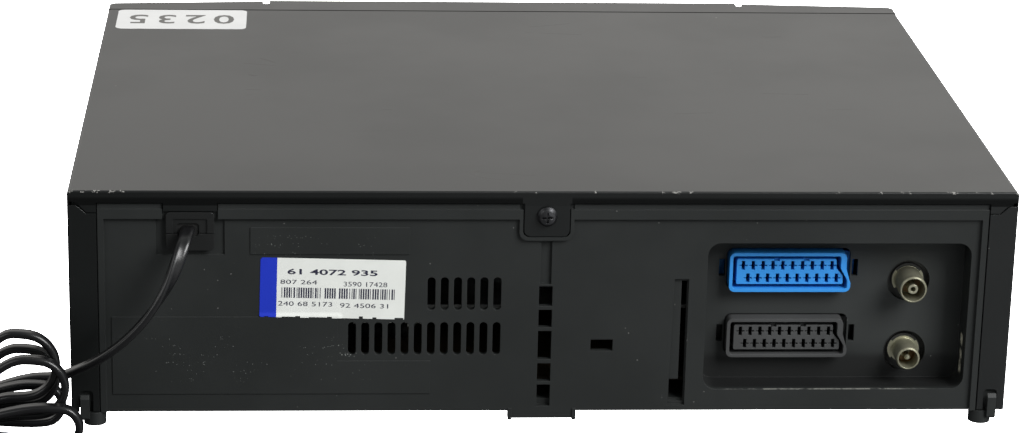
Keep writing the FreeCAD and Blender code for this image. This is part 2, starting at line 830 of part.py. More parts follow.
    tools = Piece("frame_cutters", part=False)
    tools.pad("y", recess_back, REAR,
              rect(S.recess_right, S.recess_bottom, S.recess_left, S.recess_top,
                   S.recess_corner))
    across = S.socket_width / 2 + S.gap
    upright = S.socket_height / 2 + S.gap
    levels = (S.socket_upper_z, S.socket_lower_z)
    tools.pad("y", recess_back - S.wall, recess_back,
              *[rect(S.socket_x - across, z - upright, S.socket_x + across, z + upright, 2.5)
                for z in levels],
              *[rect(S.socket_x + side * (across + 0.7), z - 3,
                     S.socket_x + side * (across + 3), z + 3.8)
                for z in levels for side in (1, -1)],
              *[disc(S.aerial_x, z, S.aerial_hole_radius)
                for z in (S.aerial_in_z, S.aerial_out_z)])
    neck = S.grommet_width / 2 - 1.5
    tools.pad("y", WALL_INSIDE, FIELD,
              rect(S.grommet_x - neck, S.grommet_bottom + 1.5, S.grommet_x + neck, ceiling),
              *[rect(S.column_left, low, S.column_right, low + height)
                for low, height in COLUMN_WINDOWS],
              rect(S.key_hole_x, S.key_hole_z, S.key_hole_x + S.key_hole_width,
                   S.key_hole_z + S.key_hole_height),
              [(-54.4, 8.4), (-48.8, 8.4), (-48.8, 17.5), (-52.3, 17.5), (-52.3, 57.6),
               (-54.4, 57.6)])
    tools.pad("y", FIELD - S.groove_depth, FIELD + 1,
              [(-2.3, 56.6), (2, 56.6), (1.8, 74.5), (-2.3, 74.5)],
              [(-54.9, 7.2), (-48.2, 7.2), (-49.4, 58.6), (-54.9, 58.6)])
    tools.pad("y", FIELD - 0.7, FIELD + 1,
              rect(cord_low - 2.4, S.grommet_bottom - 2.2, cord_high + 2.4, ridge_low))
    reach = S.vent_length / 2
    for level, number in ((S.vent_upper_z, S.vent_upper_count),
                          (S.vent_lower_z, S.vent_lower_count)):
        slot = tools.pad("y", WALL_INSIDE, FIELD + 1,
                         rect(S.vent_first_x - S.vent_width / 2, level - reach,
                              S.vent_first_x + S.vent_width / 2, level + reach,
                              S.vent_width / 2 - 0.05))
        tools.in_row(slot, "H_Axis", S.vent_pitch, number)
    bores = Piece("frame_bores", part=False)
    bores.pad("y", FIELD - S.boss_length, FIELD, disc(0, S.screw_z, S.pilot_radius))
    bores.pad("z", S.deck_top - S.deck_sheet - 10, S.deck_top - S.deck_sheet,
              *[disc(x, y, S.pilot_radius) for x, y in POSTS])
    bores.pad("z", S.board_z - 5, S.board_z, *[disc(x, y, S.pilot_radius) for x, y in STUDS])
    return combined("main_frame", [walls, trims], [tools, bores])


def make_bottom_plate():
    """Steel sheet under the frame, with rows of cooling slots."""
    plate = Piece("bottom_plate")
    half = HALF - S.hem_width - S.gap
    plate.pad("z", PLATE_UNDER, SEAT, rect(-half, FRAME_FRONT, half, WALL_INSIDE - S.gap))
    plate.cut("z", PLATE_UNDER, SEAT,
              *[disc(side * S.foot_x, FIELD - 2.2, S.foot_radius + S.gap) for side in (1, -1)])
    for start_x, start_y in ((S.power_x - 40, 20), (-160, -40), (-40, -60)):
        slot = plate.cut("z", PLATE_UNDER, SEAT,
                         rect(start_x, start_y, start_x + S.vent_width,
                              start_y + S.plate_slot_length))
        plate.in_row(slot, "H_Axis", S.plate_slot_pitch, S.plate_slot_count)
    return plate


def make_front_feet():
    feet = Piece("front_feet")
    spots = [(side * S.front_foot_x, S.front_foot_y) for side in (1, -1)]
    feet.pad("z", 1, PLATE_UNDER, *[disc(x, y, S.front_foot_radius) for x, y in spots])
    feet.pad("z", 0, 1, *[disc(x, y, S.front_foot_radius - 1) for x, y in spots])
    return feet


def face_y(distance):
    """The front panel's face at a distance from the middle, on its swept-back wings."""
    slope = (S.side_bevel - S.side_step) / (PANEL_HALF - S.notch_x)
    return FRONT + S.side_step + (distance - S.notch_x) * slope


def panel_outline(inset):
    """The panel seen from above: flat in the middle, swept back at both sides."""
    side = PANEL_HALF - inset
    joint = S.notch_x - inset
    corner = S.panel_corner - inset
    return [(-side, PANEL_BACK), (side, PANEL_BACK),
            (side, FRONT + S.side_bevel + inset, corner),
            (joint, FRONT + S.side_step + inset), (joint, FRONT + inset),
            (-joint, FRONT + inset), (-joint, FRONT + S.side_step + inset),
            (-side, FRONT + S.side_bevel + inset, corner)]


def make_front_panel():
    """Moulded front: shell open at the back, cassette opening, window seat, key holes."""
    shell = Piece("panel_shell", part=False)
    thick = S.face_thickness
    shell.pad("z", PANEL_UNDER, PANEL_TOP, panel_outline(0))
    shell.cut("z", PANEL_UNDER + thick, PANEL_TOP - thick, panel_outline(thick))
    ear = S.bay_half_width + S.ear_gap
    shell.pad("y", FRONT + thick, S.door_pivot_y + 3.6,
              *[rect(side * ear, S.door_pivot_z - 3.6, side * (ear + S.ear_thickness),
                     S.bay_top) for side in (1, -1)])
    shell.pad("y", PANEL_BACK, PANEL_BACK + S.clip_length,
              *[rect(side * (FRAME_HALF - S.wall - S.gap), low,
                     side * (FRAME_HALF - S.wall - S.gap - 1.8), low + 14)
                for side in (1, -1) for low in (20, 62)])
    shell.pad("y", PANEL_BACK - 5, PANEL_BACK,
              *[rect(side * (PANEL_HALF - thick), low,
                     side * (FRAME_HALF - S.wall - S.gap - 1.8), low + 14)
                for side in (1, -1) for low in (20, 62)])
    tools = Piece("panel_cutters", part=False)
    window = S.window_half_width
    tools.pad("y", FRONT, FRONT + 8,
              rect(-S.bay_half_width, S.bay_bottom, S.bay_half_width, S.bay_top),
              rect(-window + 3, S.window_bottom + 3, window - 3, S.window_top - 3))
    tools.pad("y", FRONT, FRONT + S.window_thickness,
              rect(-window, S.window_bottom, window, S.window_top))
    spread = S.button_clearance
    tools.pad("y", FRONT, FRONT + 10,
              *[rect(x - wide / 2 - spread, z - tall / 2 - spread,
                     x + wide / 2 + spread, z + tall / 2 + spread)
                for _, x, z, wide, tall in BUTTONS])
    radius = S.notch_radius
    tools.pad("z", S.bay_top, PANEL_TOP,
              *[rect(side * (S.notch_x - radius), FRONT, side * (S.notch_x + radius),
                     FRONT + S.notch_depth - radius) for side in (1, -1)])
    tools.pad("z", S.bay_top, PANEL_TOP,
              *[disc(side * S.notch_x, FRONT + S.notch_depth - radius, radius)
                for side in (1, -1)])
    tools.pad("x", -ear - 5, ear + 5,
              disc(S.door_pivot_y, S.door_pivot_z, S.door_pin_radius + S.pin_clearance))
    return combined("front_panel", [shell], [tools])


def make_cassette_door():
    """Flap over the cassette opening, hung on two pins at its top edge."""
    door = Piece("cassette_door")
    half = S.bay_half_width - S.door_clearance
    low = S.bay_bottom + S.door_clearance
    high = S.bay_top - S.door_clearance
    door.pad("y", FRONT, FRONT + S.door_thickness, rect(-half, low, half, high, 1.2))
    door.pad("x", -half + 3, half - 3,
             disc(S.door_pivot_y, S.door_pivot_z, S.door_barrel_radius))
    door.pad("x", -half - 3.4, half + 3.4,
             disc(S.door_pivot_y, S.door_pivot_z, S.door_pin_radius))
    door.cut("y", FRONT, FRONT + 0.7,
             *[rect(-half + 6, low + rise, half - 6, low + rise + 0.9)
               for rise in (3, 5.4, 7.8)])
    return door


def make_display_window():
    window = Piece("display_window")
    half = S.window_half_width - S.gap / 2
    window.pad("y", FRONT + 0.2, FRONT + S.window_thickness,
               rect(-half, S.window_bottom + S.gap / 2, half, S.window_top - S.gap / 2))
    return window


def make_display_module():
    """Glass display tube on its carrier, behind the window."""
    module = Piece("display_module")
    half = S.window_half_width - 8
    middle = (S.window_bottom + S.window_top) / 2
    module.pad("y", BOARD_FRONT - 9, BOARD_FRONT - 4,
               rect(-half, middle - 9, half, middle + 9))
    module.pad("y", BOARD_FRONT - 4, BOARD_FRONT,
               rect(-half + 4, middle - 6, half - 4, middle + 6))
    return module


def make_front_board():
    """Upright circuit board behind the front, low in the middle to clear the cassette."""
    board = Piece("front_board")
    side = FRAME_HALF - S.wall - 4
    low = S.board_z + S.board_thickness
    step = S.bay_half_width + 4
    board.pad("y", BOARD_FRONT, BOARD_FRONT + S.board_thickness,
              [(-side, low), (side, low), (side, 86), (step, 86), (step, S.bay_bottom - 4),
               (-step, S.bay_bottom - 4), (-step, 86), (-side, 86)])
    board.pad("y", BOARD_FRONT - 3.5, BOARD_FRONT,
                 *[rect(x - 3, z - 3, x + 3, z + 3) for _, x, z, _, _ in BUTTONS])
    board.pad("y", BOARD_FRONT - S.switch_height, BOARD_FRONT - 3.5,
                 *[disc(x, z, 1.7) for _, x, z, _, _ in BUTTONS])
    return board


def make_buttons():
    """Push buttons: a cap that follows the panel's sweep, a flange behind and a stem."""
    made = []
    for name, x, z, wide, tall in BUTTONS:
        button = Piece(f"{name}_button")
        side = 1 if x > 0 else -1
        near_x = abs(x) - wide / 2
        far_x = abs(x) + wide / 2
        flange = face_y(as_size(far_x)) + S.face_thickness + 0.5
        button.pad("z", z - tall / 2, z + tall / 2,
                   [(side * near_x, face_y(as_size(near_x)) - S.button_proud),
                    (side * far_x, face_y(as_size(far_x)) - S.button_proud),
                    (side * far_x, flange), (side * near_x, flange)])
        button.pad("y", flange, flange + 1.2,
                   rect(x - wide / 2 - 1, z - tall / 2 - 1, x + wide / 2 + 1, z + tall / 2 + 1))
        button.pad("y", flange + 1.2, BOARD_FRONT - S.switch_height - S.button_travel - 0.2,
                   rect(x - 1.8, z - 1.8, x + 1.8, z + 1.8))
        made.append(button)
    return made


def make_deck_plate():
    """Pressed steel plate that carries the whole tape mechanism, on four posts."""
    plate = Piece("deck_plate")
    half = S.deck_half_width
    under = S.deck_top - S.deck_sheet
    plate.pad("z", under, S.deck_top, rect(-half, S.deck_front, half, S.deck_back, 4))
    plate.pad("z", under - S.deck_rim, under,
              *[rect(side * half, S.deck_front + 6, side * (half - S.deck_sheet),
                     S.deck_back - 6) for side in (1, -1)])
    plate.cut("z", under, S.deck_top,
              *[disc(x, y, S.screw_shank + 0.2) for x, y in POSTS],
              disc(S.capstan_x, S.capstan_y, S.bearing_radius + 0.1),
              rect(-78, -98, -20, -66, 4), rect(20, -98, 78, -66, 4),
              rect(-96, 62, -62, 100, 4))
    for side in (1, -1):
        plate.cut("z", under, S.deck_top, guide_slot(side))
    plate.pad("z", S.deck_top, S.deck_top + S.washer,
              *[disc(side * S.reel_x, S.reel_y, 3) for side in (1, -1)],
              disc(0, S.idler_pivot_y, 3), disc(S.pinch_pivot_x, S.pinch_pivot_y, 3),
              disc(S.tension_x, S.tension_y, 3))
    plate.pad("z", S.deck_top, S.deck_top + 9,
              *[disc(side * S.reel_x, S.reel_y, S.pin_radius) for side in (1, -1)],
              disc(0, S.idler_pivot_y, S.pin_radius),
              disc(S.tension_x, S.tension_y, S.pin_radius))
    plate.pad("z", S.deck_top, S.deck_top + 17,
              disc(S.pinch_pivot_x, S.pinch_pivot_y, S.pin_radius))
    plate.pad("z", S.belt_z - 0.6, under, disc(0, S.idler_pivot_y, S.pin_radius),
              disc(S.loader_x, S.loader_y, S.pin_radius))
    return plate


def guide_slot(side):
    """The straight slot that a tape guide runs in, as four corners."""
    run = S.guide_run / math.hypot(*GUIDE_WAY)
    start = (side * S.guide_x, S.guide_y)
    end = (side * (S.guide_x + run * GUIDE_WAY[0]), S.guide_y + run * GUIDE_WAY[1])
    wide = S.guide_pin_radius + S.gap
    across = (GUIDE_WAY[1] / math.hypot(*GUIDE_WAY), -GUIDE_WAY[0] / math.hypot(*GUIDE_WAY))
    extra = 3
    along = (GUIDE_WAY[0] / math.hypot(*GUIDE_WAY), GUIDE_WAY[1] / math.hypot(*GUIDE_WAY))
    corners = []
    for point, reach, turn in ((start, -extra, -1), (start, -extra, 1),
                               (end, extra, 1), (end, extra, -1)):
        corners.append((point[0] + side * (along[0] * reach + turn * wide * across[0]),
                        point[1] + along[1] * reach + turn * wide * across[1]))
    return corners


def make_carriage_sides():
    """Two upright plates whose L-shaped slots guide the cassette holder's pins."""
    made = []
    for label, side in (("left", -1), ("right", 1)):
        plate = Piece(f"carriage_{label}")
        inner = side * S.carriage_x
        outer = side * (S.carriage_x + S.carriage_sheet)
        front, rear = S.holder_front + 3, S.carriage_rear
        plate.pad("x", inner, outer,
                  [(front, S.deck_top), (rear, S.deck_top), (rear, 74),
                   (rear - 10, S.carriage_top), (front, S.carriage_top)])
        plate.pad("z", S.deck_top, S.deck_top + S.carriage_sheet,
                  rect(inner, front, side * (S.carriage_x - 8), front + 30),
                  rect(inner, rear - 22, side * (S.carriage_x - 8), rear))
        slot = S.holder_pin_radius + S.pin_slack
        level = HOLDER_PIN_Z
        plate.cut("x", inner, outer,
                  rect(HOLDER_PIN_FRONT - slot, level - slot,
                       HOLDER_PIN_BACK + S.holder_travel + slot, level + slot))
        plate.cut("x", inner, outer,
                  *[rect(place + S.holder_travel - slot, level - S.holder_drop - slot,
                         place + S.holder_travel + slot, level)
                    for place in (HOLDER_PIN_FRONT, HOLDER_PIN_BACK)])
        made.append(plate)
    return made


def make_cassette_holder():
    """Sheet-metal sleeve that grips the cassette and runs in the carriage slots."""
    holder = Piece("cassette_holder")
    inner = S.cassette_half_width + S.cassette_slack
    outer = inner + S.holder_sheet
    low = S.cassette_bottom
    high = S.cassette_bottom + S.cassette_height + S.cassette_slack
    sheet = S.holder_sheet
    back = S.holder_front + S.holder_length
    holder.pad("y", S.holder_front, back,
               [(-outer, low - sheet), (-inner + 11, low - sheet), (-inner + 11, low),
                (-inner, low), (-inner, high), (inner, high), (inner, low),
                (inner - 11, low), (inner - 11, low - sheet), (outer, low - sheet),
                (outer, high + sheet), (-outer, high + sheet)])
    holder.cut("z", high, high + sheet,
               rect(-58, S.holder_front + 12, -8, back - 12, 3),
               rect(8, S.holder_front + 12, 58, back - 12, 3))
    holder.pad("y", back - sheet, back,
               *[rect(side * 30, high - 9, side * 46, high) for side in (1, -1)])
    for side in (1, -1):
        holder.pad("x", side * (outer - 0.6), side * (S.carriage_x + S.carriage_sheet + 0.8),
                   disc(HOLDER_PIN_FRONT, HOLDER_PIN_Z, S.holder_pin_radius),
                   disc(HOLDER_PIN_BACK, HOLDER_PIN_Z, S.holder_pin_radius))
    return holder


def make_reels():
    """Two reel tables: toothed rim, hub, tapered spindle and three driving fins."""
    made = []
    for name, side in (("supply_reel", -1), ("takeup_reel", 1)):
        reel = Piece(name, at=(side * S.reel_x, S.reel_y, S.deck_top + S.washer + 0.3))
        bore = S.pin_radius + S.running
        rim = S.reel_radius
        reel.turned([(bore, 0), (rim, 0), (rim, 3.2), (rim - 1.6, 3.2), (rim - 2, 2),
                     (7, 2), (6, 9), (4.2, 9.6), (3.6, 14), (2.2, 15.4), (bore, 15.4)])
        tooth = reel.pad("z", 0, 3.2, [(rim - 0.3, -0.7), (rim + 0.8, -0.3),
                                       (rim + 0.8, 0.3), (rim - 0.3, 0.7)])
        reel.in_ring(tooth, S.reel_teeth)
        fin = reel.pad("z", 9, 13, rect(3, -0.6, 6.2, 0.6))
        reel.in_ring(fin, 3)
        made.append(reel)
    return made


def make_idler_arm():
    """Swinging arm that carries the drive to one reel or the other."""
    base = S.deck_top + S.washer + 0.3
    arm = Piece("idler_arm", at=(0, S.idler_pivot_y, base))
    arm.pad("z", 0, 1.4, rect(-2.4, 0, 2.4, S.idler_arm_length + 2.4))
    arm.pad("z", 0, 5, disc(0, 0, 3.6))
    arm.pad("z", 0, 6.4, disc(0, S.idler_arm_length, S.pin_radius))
    arm.cut("z", 0, 5, disc(0, 0, S.pin_radius + S.running))
    return arm


def make_idler_gear():
    base = S.deck_top + S.washer + 0.3 + 1.7
    gear = Piece("idler_gear", at=(0, S.idler_pivot_y + S.idler_arm_length, base))
    bore = S.pin_radius + S.running
    rim = S.idler_radius - 0.8
    gear.turned([(bore, 0), (rim, 0), (rim, 1.8), (5, 1.8), (4, 3.4), (bore, 3.4)])
    tooth = gear.pad("z", 0, 1.8, [(rim - 0.3, -0.7), (rim + 0.8, -0.3),
                                   (rim + 0.8, 0.3), (rim - 0.3, 0.7)])
    gear.in_ring(tooth, 30)
    return gear


def make_drum():
    """The leaning head drum: a fixed lower half on its base and a spinning upper half."""
    lean = ((1, 0, 0), -S.drum_tilt.value)
    place = (S.drum_x, S.drum_y, S.drum_gap_z)
    lower = Piece("lower_drum_body", at=place, lean=lean, part=False)
    radius = S.drum_radius
    lower.turned([(0, -16), (radius - 2, -16), (radius, -14), (radius, -4),
                  (radius - 0.4, -3.6), (radius - 0.4, -0.15), (6, -0.15), (6, -1.2),
                  (S.drum_shaft, -1.2), (S.drum_shaft, 21), (0, 21)])
    base = Piece("lower_drum_base", part=False)
    base.pad("z", S.deck_top, S.drum_gap_z - 13, disc(S.drum_x, S.drum_y, radius - 9))
    base.pad("z", S.deck_top, S.deck_top + 3,
             rect(S.drum_x - 28, S.drum_y - 6, S.drum_x + 28, S.drum_y + 6, 3))
    combined("lower_drum", [lower, base])
    upper = Piece("upper_drum", at=place, lean=lean)
    bore = S.drum_shaft + S.running
    upper.turned([(bore, 0.15), (radius, 0.15), (radius, 15), (radius - 1.5, 16.5),
                  (radius - 3, 16.5), (radius - 3, 12), (21, 12), (21, 17.5), (20, 18.5),
                  (9, 18.5), (8, 20.4), (bore, 20.4)])
    upper.cut("z", 0.15, 2.2, rect(radius - 2.4, -1.6, radius + 1, 1.6),
              rect(-radius - 1, -1.6, -radius + 2.4, 1.6))
    upper.cut("z", 15.5, 18.5, *[disc(x, y, 1.6) for x, y in ((14, 0), (-14, 0))])
    return upper


def make_capstan_motor():
    """Flat direct-drive motor: coil board and the bearing that holds the capstan."""
    motor = Piece("capstan_motor", at=(S.capstan_x, S.capstan_y, 0))
    under = S.deck_top - S.deck_sheet
    board = under - S.motor_drop
    motor.pad("z", board - S.board_thickness, board, rect(-30, -26, 26, 26, 3))
    motor.pad("z", board - 4.6, board - S.board_thickness, disc(0, 0, 20))
    motor.pad("z", board, under, *[disc(x, y, 2.5) for x, y in ((-25, -20), (-10, 22), (20, 0))])
    motor.pad("z", board - 4.6, S.deck_top + 7, disc(0, 0, S.bearing_radius))
    motor.cut("z", board - 4.6, S.deck_top + 7, disc(0, 0, S.capstan_radius + S.running))
    return motor


def make_capstan():
    """Flywheel rotor with its belt pulley below and the capstan shaft above."""
    capstan = Piece("capstan_flywheel", at=(S.capstan_x, S.capstan_y, 0))
    rotor_top = S.deck_top - S.deck_sheet - S.motor_drop - 5
    shaft, wheel = S.capstan_radius, S.flywheel_radius
    capstan.turned([(0, S.belt_z - 0.6), (S.belt_pulley_small + 1, S.belt_z - 0.6),
                    (S.belt_pulley_small + 1, S.belt_z), (S.belt_pulley_small, S.belt_z),
                    (S.belt_pulley_small, S.belt_z + S.belt_width),
                    (wheel - 3, S.belt_z + S.belt_width), (wheel, S.belt_z + 4),
                    (wheel, rotor_top), (shaft, rotor_top), (shaft, S.deck_top + 32),
                    (0, S.deck_top + 32)])
    return capstan


def make_clutch_pulley():
    """Belt-driven clutch under the deck, on the idler's axis."""
    pulley = Piece("clutch_pulley", at=(0, S.idler_pivot_y, 0))
    bore = S.pin_radius + S.running
    radius = S.belt_pulley_large
    pulley.turned([(bore, S.belt_z - 0.4), (radius + 1, S.belt_z - 0.4),
                   (radius + 1, S.belt_z), (radius, S.belt_z),
                   (radius, S.belt_z + S.belt_width), (radius + 1, S.belt_z + S.belt_width),
                   (radius + 1, S.belt_z + 4), (9, S.belt_z + 5), (9, 27),
                   (6, 29), (6, S.deck_top - S.deck_sheet - 0.4),
                   (bore, S.deck_top - S.deck_sheet - 0.4)])
    return pulley


def belt_loop(grow):
    """The closed line round both belt pulleys, as one wire at the belt's height."""
    ends = ((S.capstan_x.value, S.capstan_y.value, S.belt_pulley_small.value + grow),
            (0.0, S.idler_pivot_y.value, S.belt_pulley_large.value + grow))
    (ax, ay, ar), (bx, by, br) = ends
    heading = math.atan2(by - ay, bx - ax)
    swing = math.acos((ar - br) / math.hypot(bx - ax, by - ay))

    def rim(x, y, radius, angle):
        return Vector(x + radius * math.cos(angle), y + radius * math.sin(angle),
                      S.belt_z.value)

    left, right = heading + swing, heading - swing
    edges = [Part.Arc(rim(ax, ay, ar, left), rim(ax, ay, ar, heading + math.pi),
                      rim(ax, ay, ar, right)).toShape(),
             Part.LineSegment(rim(ax, ay, ar, right), rim(bx, by, br, right)).toShape(),
             Part.Arc(rim(bx, by, br, right), rim(bx, by, br, heading),
                      rim(bx, by, br, left)).toShape(),
             Part.LineSegment(rim(bx, by, br, left), rim(ax, ay, ar, left)).toShape()]
    return Part.Wire(edges)


def make_capstan_belt():
    """Flat rubber belt from the capstan's pulley to the clutch."""
    belt = DOC.addObject("Part::Feature", "capstan_belt")
    belt.Label = "capstan_belt"
    fit = S.running.value
    ring = Part.Face(belt_loop(fit + S.belt_thickness.value)).cut(Part.Face(belt_loop(fit)))
    belt.Shape = ring.extrude(Vector(0, 0, S.belt_width.value - 0.6)).translated(Vector(0, 0, 0.3))
    PARTS.append(belt)
    return belt


def make_pinch_parts():
    """Pinch arm on the deck's pin, with its rubber roller."""
    arm = Piece("pinch_arm", at=(S.pinch_pivot_x, S.pinch_pivot_y, 0))
    level = S.deck_top + 8
    arm.pad("z", level, level + 2, rect(-PINCH_ARM, -3, 0, 3))
    arm.pad("z", S.deck_top + S.washer + 0.3, level + 6, disc(0, 0, 4))
    arm.pad("z", level, level + 22, disc(-PINCH_ARM, 0, S.pin_radius))
    arm.cut("z", S.deck_top, level + 6, disc(0, 0, S.pin_radius + S.running))
    roller = Piece("pinch_roller", at=(S.pinch_pivot_x - PINCH_ARM, S.pinch_pivot_y, level + 4))
    bore = S.pin_radius + S.running
    roller.turned([(bore, 0), (S.pinch_radius, 0), (S.pinch_radius, 16), (bore, 16)])
    return arm


def make_guides():
    """Two loading guides: sliding base, upright roller and leaning post."""
    made = []
    for name, side in (("supply_guide", -1), ("takeup_guide", 1)):
        guide = Piece(name, at=(side * S.guide_x, S.guide_y, 0))
        top = S.deck_top
        guide.pad("z", top + 0.3, top + 4, rect(-4.5, -6, 4.5, 6, 1.5))
        guide.pad("z", top - S.deck_sheet - 2, top + 0.3, disc(0, 0, S.guide_pin_radius))
        guide.pad("z", top - S.deck_sheet - 3, top - S.deck_sheet - 0.3,
                  disc(0, 0, S.guide_pin_radius + 1.4))
        guide.pad("z", top + 4, top + 12, disc(0, -1.5, 1.2), disc(side * 2, 3.6, 1.1))
        guide.pad("z", top + 12, top + 31, disc(0, -1.5, 3))
        guide.pad("z", top + 12, top + 30, disc(side * 2, 3.6, 1.1))
        made.append(guide)
    return made


def make_loader():
    """Loading gear and the small motor with its worm, under the deck."""
    under = S.deck_top - S.deck_sheet
    gear_low = under - S.loader_drop
    gear = Piece("loading_gear", at=(S.loader_x, S.loader_y, gear_low))
    bore = S.pin_radius + S.running
    rim = S.loader_radius
    gear.turned([(bore, 0), (rim, 0), (rim, 3.4), (8, 3.4), (7, S.loader_drop - 0.4),
                 (bore, S.loader_drop - 0.4)])
    tooth = gear.pad("z", 0, 3.4, [(rim - 0.3, -0.9), (rim + 1.2, -0.4),
                                   (rim + 1.2, 0.4), (rim - 0.3, 0.9)])
    gear.in_ring(tooth, S.loader_teeth)
    axis_y = S.loader_y + rim + 1.2 + S.worm_radius + S.gap
    axis_z = gear_low + 1.8
    motor = Piece("loading_motor")
    motor.pad("x", S.loader_x + 12, S.loader_x + 32, disc(axis_y, axis_z, S.motor_radius))
    motor.pad("x", S.loader_x + 10, S.loader_x + 12, disc(axis_y, axis_z, 2.6))
    motor.pad("z", axis_z + S.motor_radius - 0.6, under,
              rect(S.loader_x + 14, axis_y - 4, S.loader_x + 30, axis_y + 4))
    motor.cut("x", S.loader_x + 10, S.loader_x + 32, disc(axis_y, axis_z, 0.75 + S.running))
    worm = Piece("loading_worm")
    worm.pad("x", S.loader_x - 9, S.loader_x + 9.7, disc(axis_y, axis_z, S.worm_radius - 0.8))
    thread = [worm.pad("x", S.loader_x - 8 + step, S.loader_x - 7 + step,
                       disc(axis_y, axis_z, S.worm_radius)) for step in range(0, 16, 4)]
    worm.pad("x", S.loader_x + 9.7, S.loader_x + 22, disc(axis_y, axis_z, 0.75))
    return thread


def make_tape_path():
    """Tension arm, full-width erase head and the stacked sound and control head."""
    arm = Piece("tension_arm", at=(S.tension_x, S.tension_y, 0),
                lean=((0, 0, 1), S.tension_rest_angle.value))
    low = S.deck_top + S.washer + 0.3
    reach = S.tension_arm_length
    arm.pad("z", low, low + 1.6, rect(0, -2.2, reach + 2.2, 2.2))
    arm.pad("z", low, low + 6, disc(0, 0, 3.4))
    arm.pad("z", low, S.deck_top + 30, disc(reach, 0, 1.3))
    arm.cut("z", low, low + 6, disc(0, 0, S.pin_radius + S.running))
    erase = Piece("erase_head")
    erase.pad("z", S.deck_top, S.deck_top + 11, rect(-68, 44, -62, 52))
    erase.pad("z", S.deck_top + 11, S.deck_top + 30, rect(-70, 42, -58, 54, 2))
    sound = Piece("sound_head")
    sound.pad("z", S.deck_top, S.deck_top + 2, rect(54, 54, 72, 72, 2))
    sound.pad("z", S.deck_top + 2, S.deck_top + 11, rect(60, 60, 68, 68))
    sound.pad("z", S.deck_top + 11, S.deck_top + 30, rect(58, 58, 70, 70, 2))
    return erase


def make_main_board():
    """Main circuit board on the frame's studs, with holes for the deck posts."""
    board = Piece("main_board")
    top = S.board_z + S.board_thickness
    half = FRAME_HALF - S.wall - 3.5
    board.pad("z", S.board_z, top, rect(-half, FRAME_FRONT, half, RECESS_BACK - S.wall - S.gap))
    board.cut("z", S.board_z, top,
              *[disc(x, y, S.boss_radius + S.gap) for x, y in POSTS],
              *[disc(x, y, S.pilot_radius + 0.4) for x, y in STUDS])
    return board


def make_chips():
    """Flat integrated circuits and a shielded circuit block on the main board."""
    chips = Piece("board_chips")
    top = S.board_z + S.board_thickness
    chips.pad("z", top, top + 3,
              *[rect(x, y, x + wide, y + deep, 0.8) for x, y, wide, deep in CHIPS])
    chips.pad("z", top, top + 9, rect(-84, -96, -40, -62, 1.5), rect(-86, 72, -50, 98, 1.5))
    return chips


def make_capacitors():
    """Round capacitors on the main board; the mains one is the largest."""
    group = Piece("board_capacitors")
    top = S.board_z + S.board_thickness
    group.pad("z", top, top + 13, *[disc(x, y, 3.2) for x, y in SMALL_CAPACITORS])
    group.pad("z", top, top + 24, *[disc(x, y, 6.3) for x, y in LARGE_CAPACITORS])
    group.pad("z", top, top + 34, disc(128, 12, 11))
    return group


def make_transformer():
    """Mains transformer: laminated core with a wound bobbin through it."""
    transformer = Piece("transformer")
    top = S.board_z + S.board_thickness
    transformer.pad("z", top, top + 4, rect(124, 44, 156, 76))
    transformer.pad("z", top + 4, top + 34, rect(120, 50, 160, 70))
    transformer.pad("z", top + 8, top + 30, rect(129, 42, 151, 78, 4))
    transformer.cut("z", top + 4, top + 34, *[rect(x, 49, x + 1, 50.6) for x in (121, 158)],
                    *[rect(x, 69.4, x + 1, 71) for x in (121, 158)])
    return transformer


def make_tuner_can():
    """Sheet-metal can of the tuner, against the back wall's aerial holes."""
    can = Piece("tuner_can")
    top = S.board_z + S.board_thickness
    rear = RECESS_BACK - S.wall - S.gap
    left, right = S.aerial_x - 12, S.aerial_x + 12
    can.pad("z", top, top + S.tuner_height, rect(left, rear - 54, right, rear, 0.6))
    can.cut("z", top + S.tuner_height - 0.5, top + S.tuner_height,
            rect(left + 1.2, rear - 52.8, right - 1.2, rear - 1.2),
            )
    can.pad("z", top + S.tuner_height - 0.5, top + S.tuner_height - 0.2,
            *[disc(S.aerial_x + 5, rear - reach, 3) for reach in (12, 26, 40)])
    return can


def make_aerial_sockets():
    """Two coaxial barrels: a tube with a centre contact in each."""
    made = []
    table = (("aerial_input", S.aerial_in_z, S.aerial_in_radius, S.aerial_in_length, True),
             ("aerial_output", S.aerial_out_z, S.aerial_out_radius, S.aerial_out_length, False))
    for name, level, radius, proud, is_socket in table:
        base = RECESS_BACK - S.wall - S.gap
        barrel = Piece(name, at=(S.aerial_x, base, level), lean=((1, 0, 0), -90))
        length = RECESS_BACK + proud - base
        inner = radius - 0.8
        rim = [(0, 0), (S.aerial_flange, 0), (S.aerial_flange, 1), (radius, 1),
               (radius, length - 0.5), (radius - 0.4, length), (inner, length), (inner, 4)]
        if is_socket:
            barrel.turned(rim + [(1.9, 4), (1.9, length - 1), (1, length - 1), (1, 6), (0, 6)])
        else:
            barrel.turned(rim + [(1.15, 4), (1.15, length - 2.2), (0.6, length - 1.4),
                                 (0, length - 1.4)])
        made.append(barrel)
    return made


def make_jack_board():
    """Upright board that carries the two wide sockets."""
    board = Piece("jack_board")
    top = S.board_z + S.board_thickness
    board.pad("y", JACK_BOARD_BACK - S.board_thickness, JACK_BOARD_BACK,
              rect(S.socket_x - 29, top, S.socket_x + 31, S.recess_top - 1))
    return board


def socket_outline(level, inset, slant):
    """The wide socket's outline: a rectangle with one end drawn in above its middle."""
    high = S.socket_height / 2 - inset
    wide = S.socket_width / 2 - inset
    corner = max((S.socket_corner - inset).value, 0.5)
    narrow = S.socket_x - wide + slant
    return [(S.socket_x - wide, level - high, corner), (S.socket_x + wide, level - high, corner),
            (S.socket_x + wide, level + high, corner), (narrow, level + high, corner),
            (narrow, level + 1.5, 0.5), (S.socket_x - wide, level - high + 3.5, 0.5)]


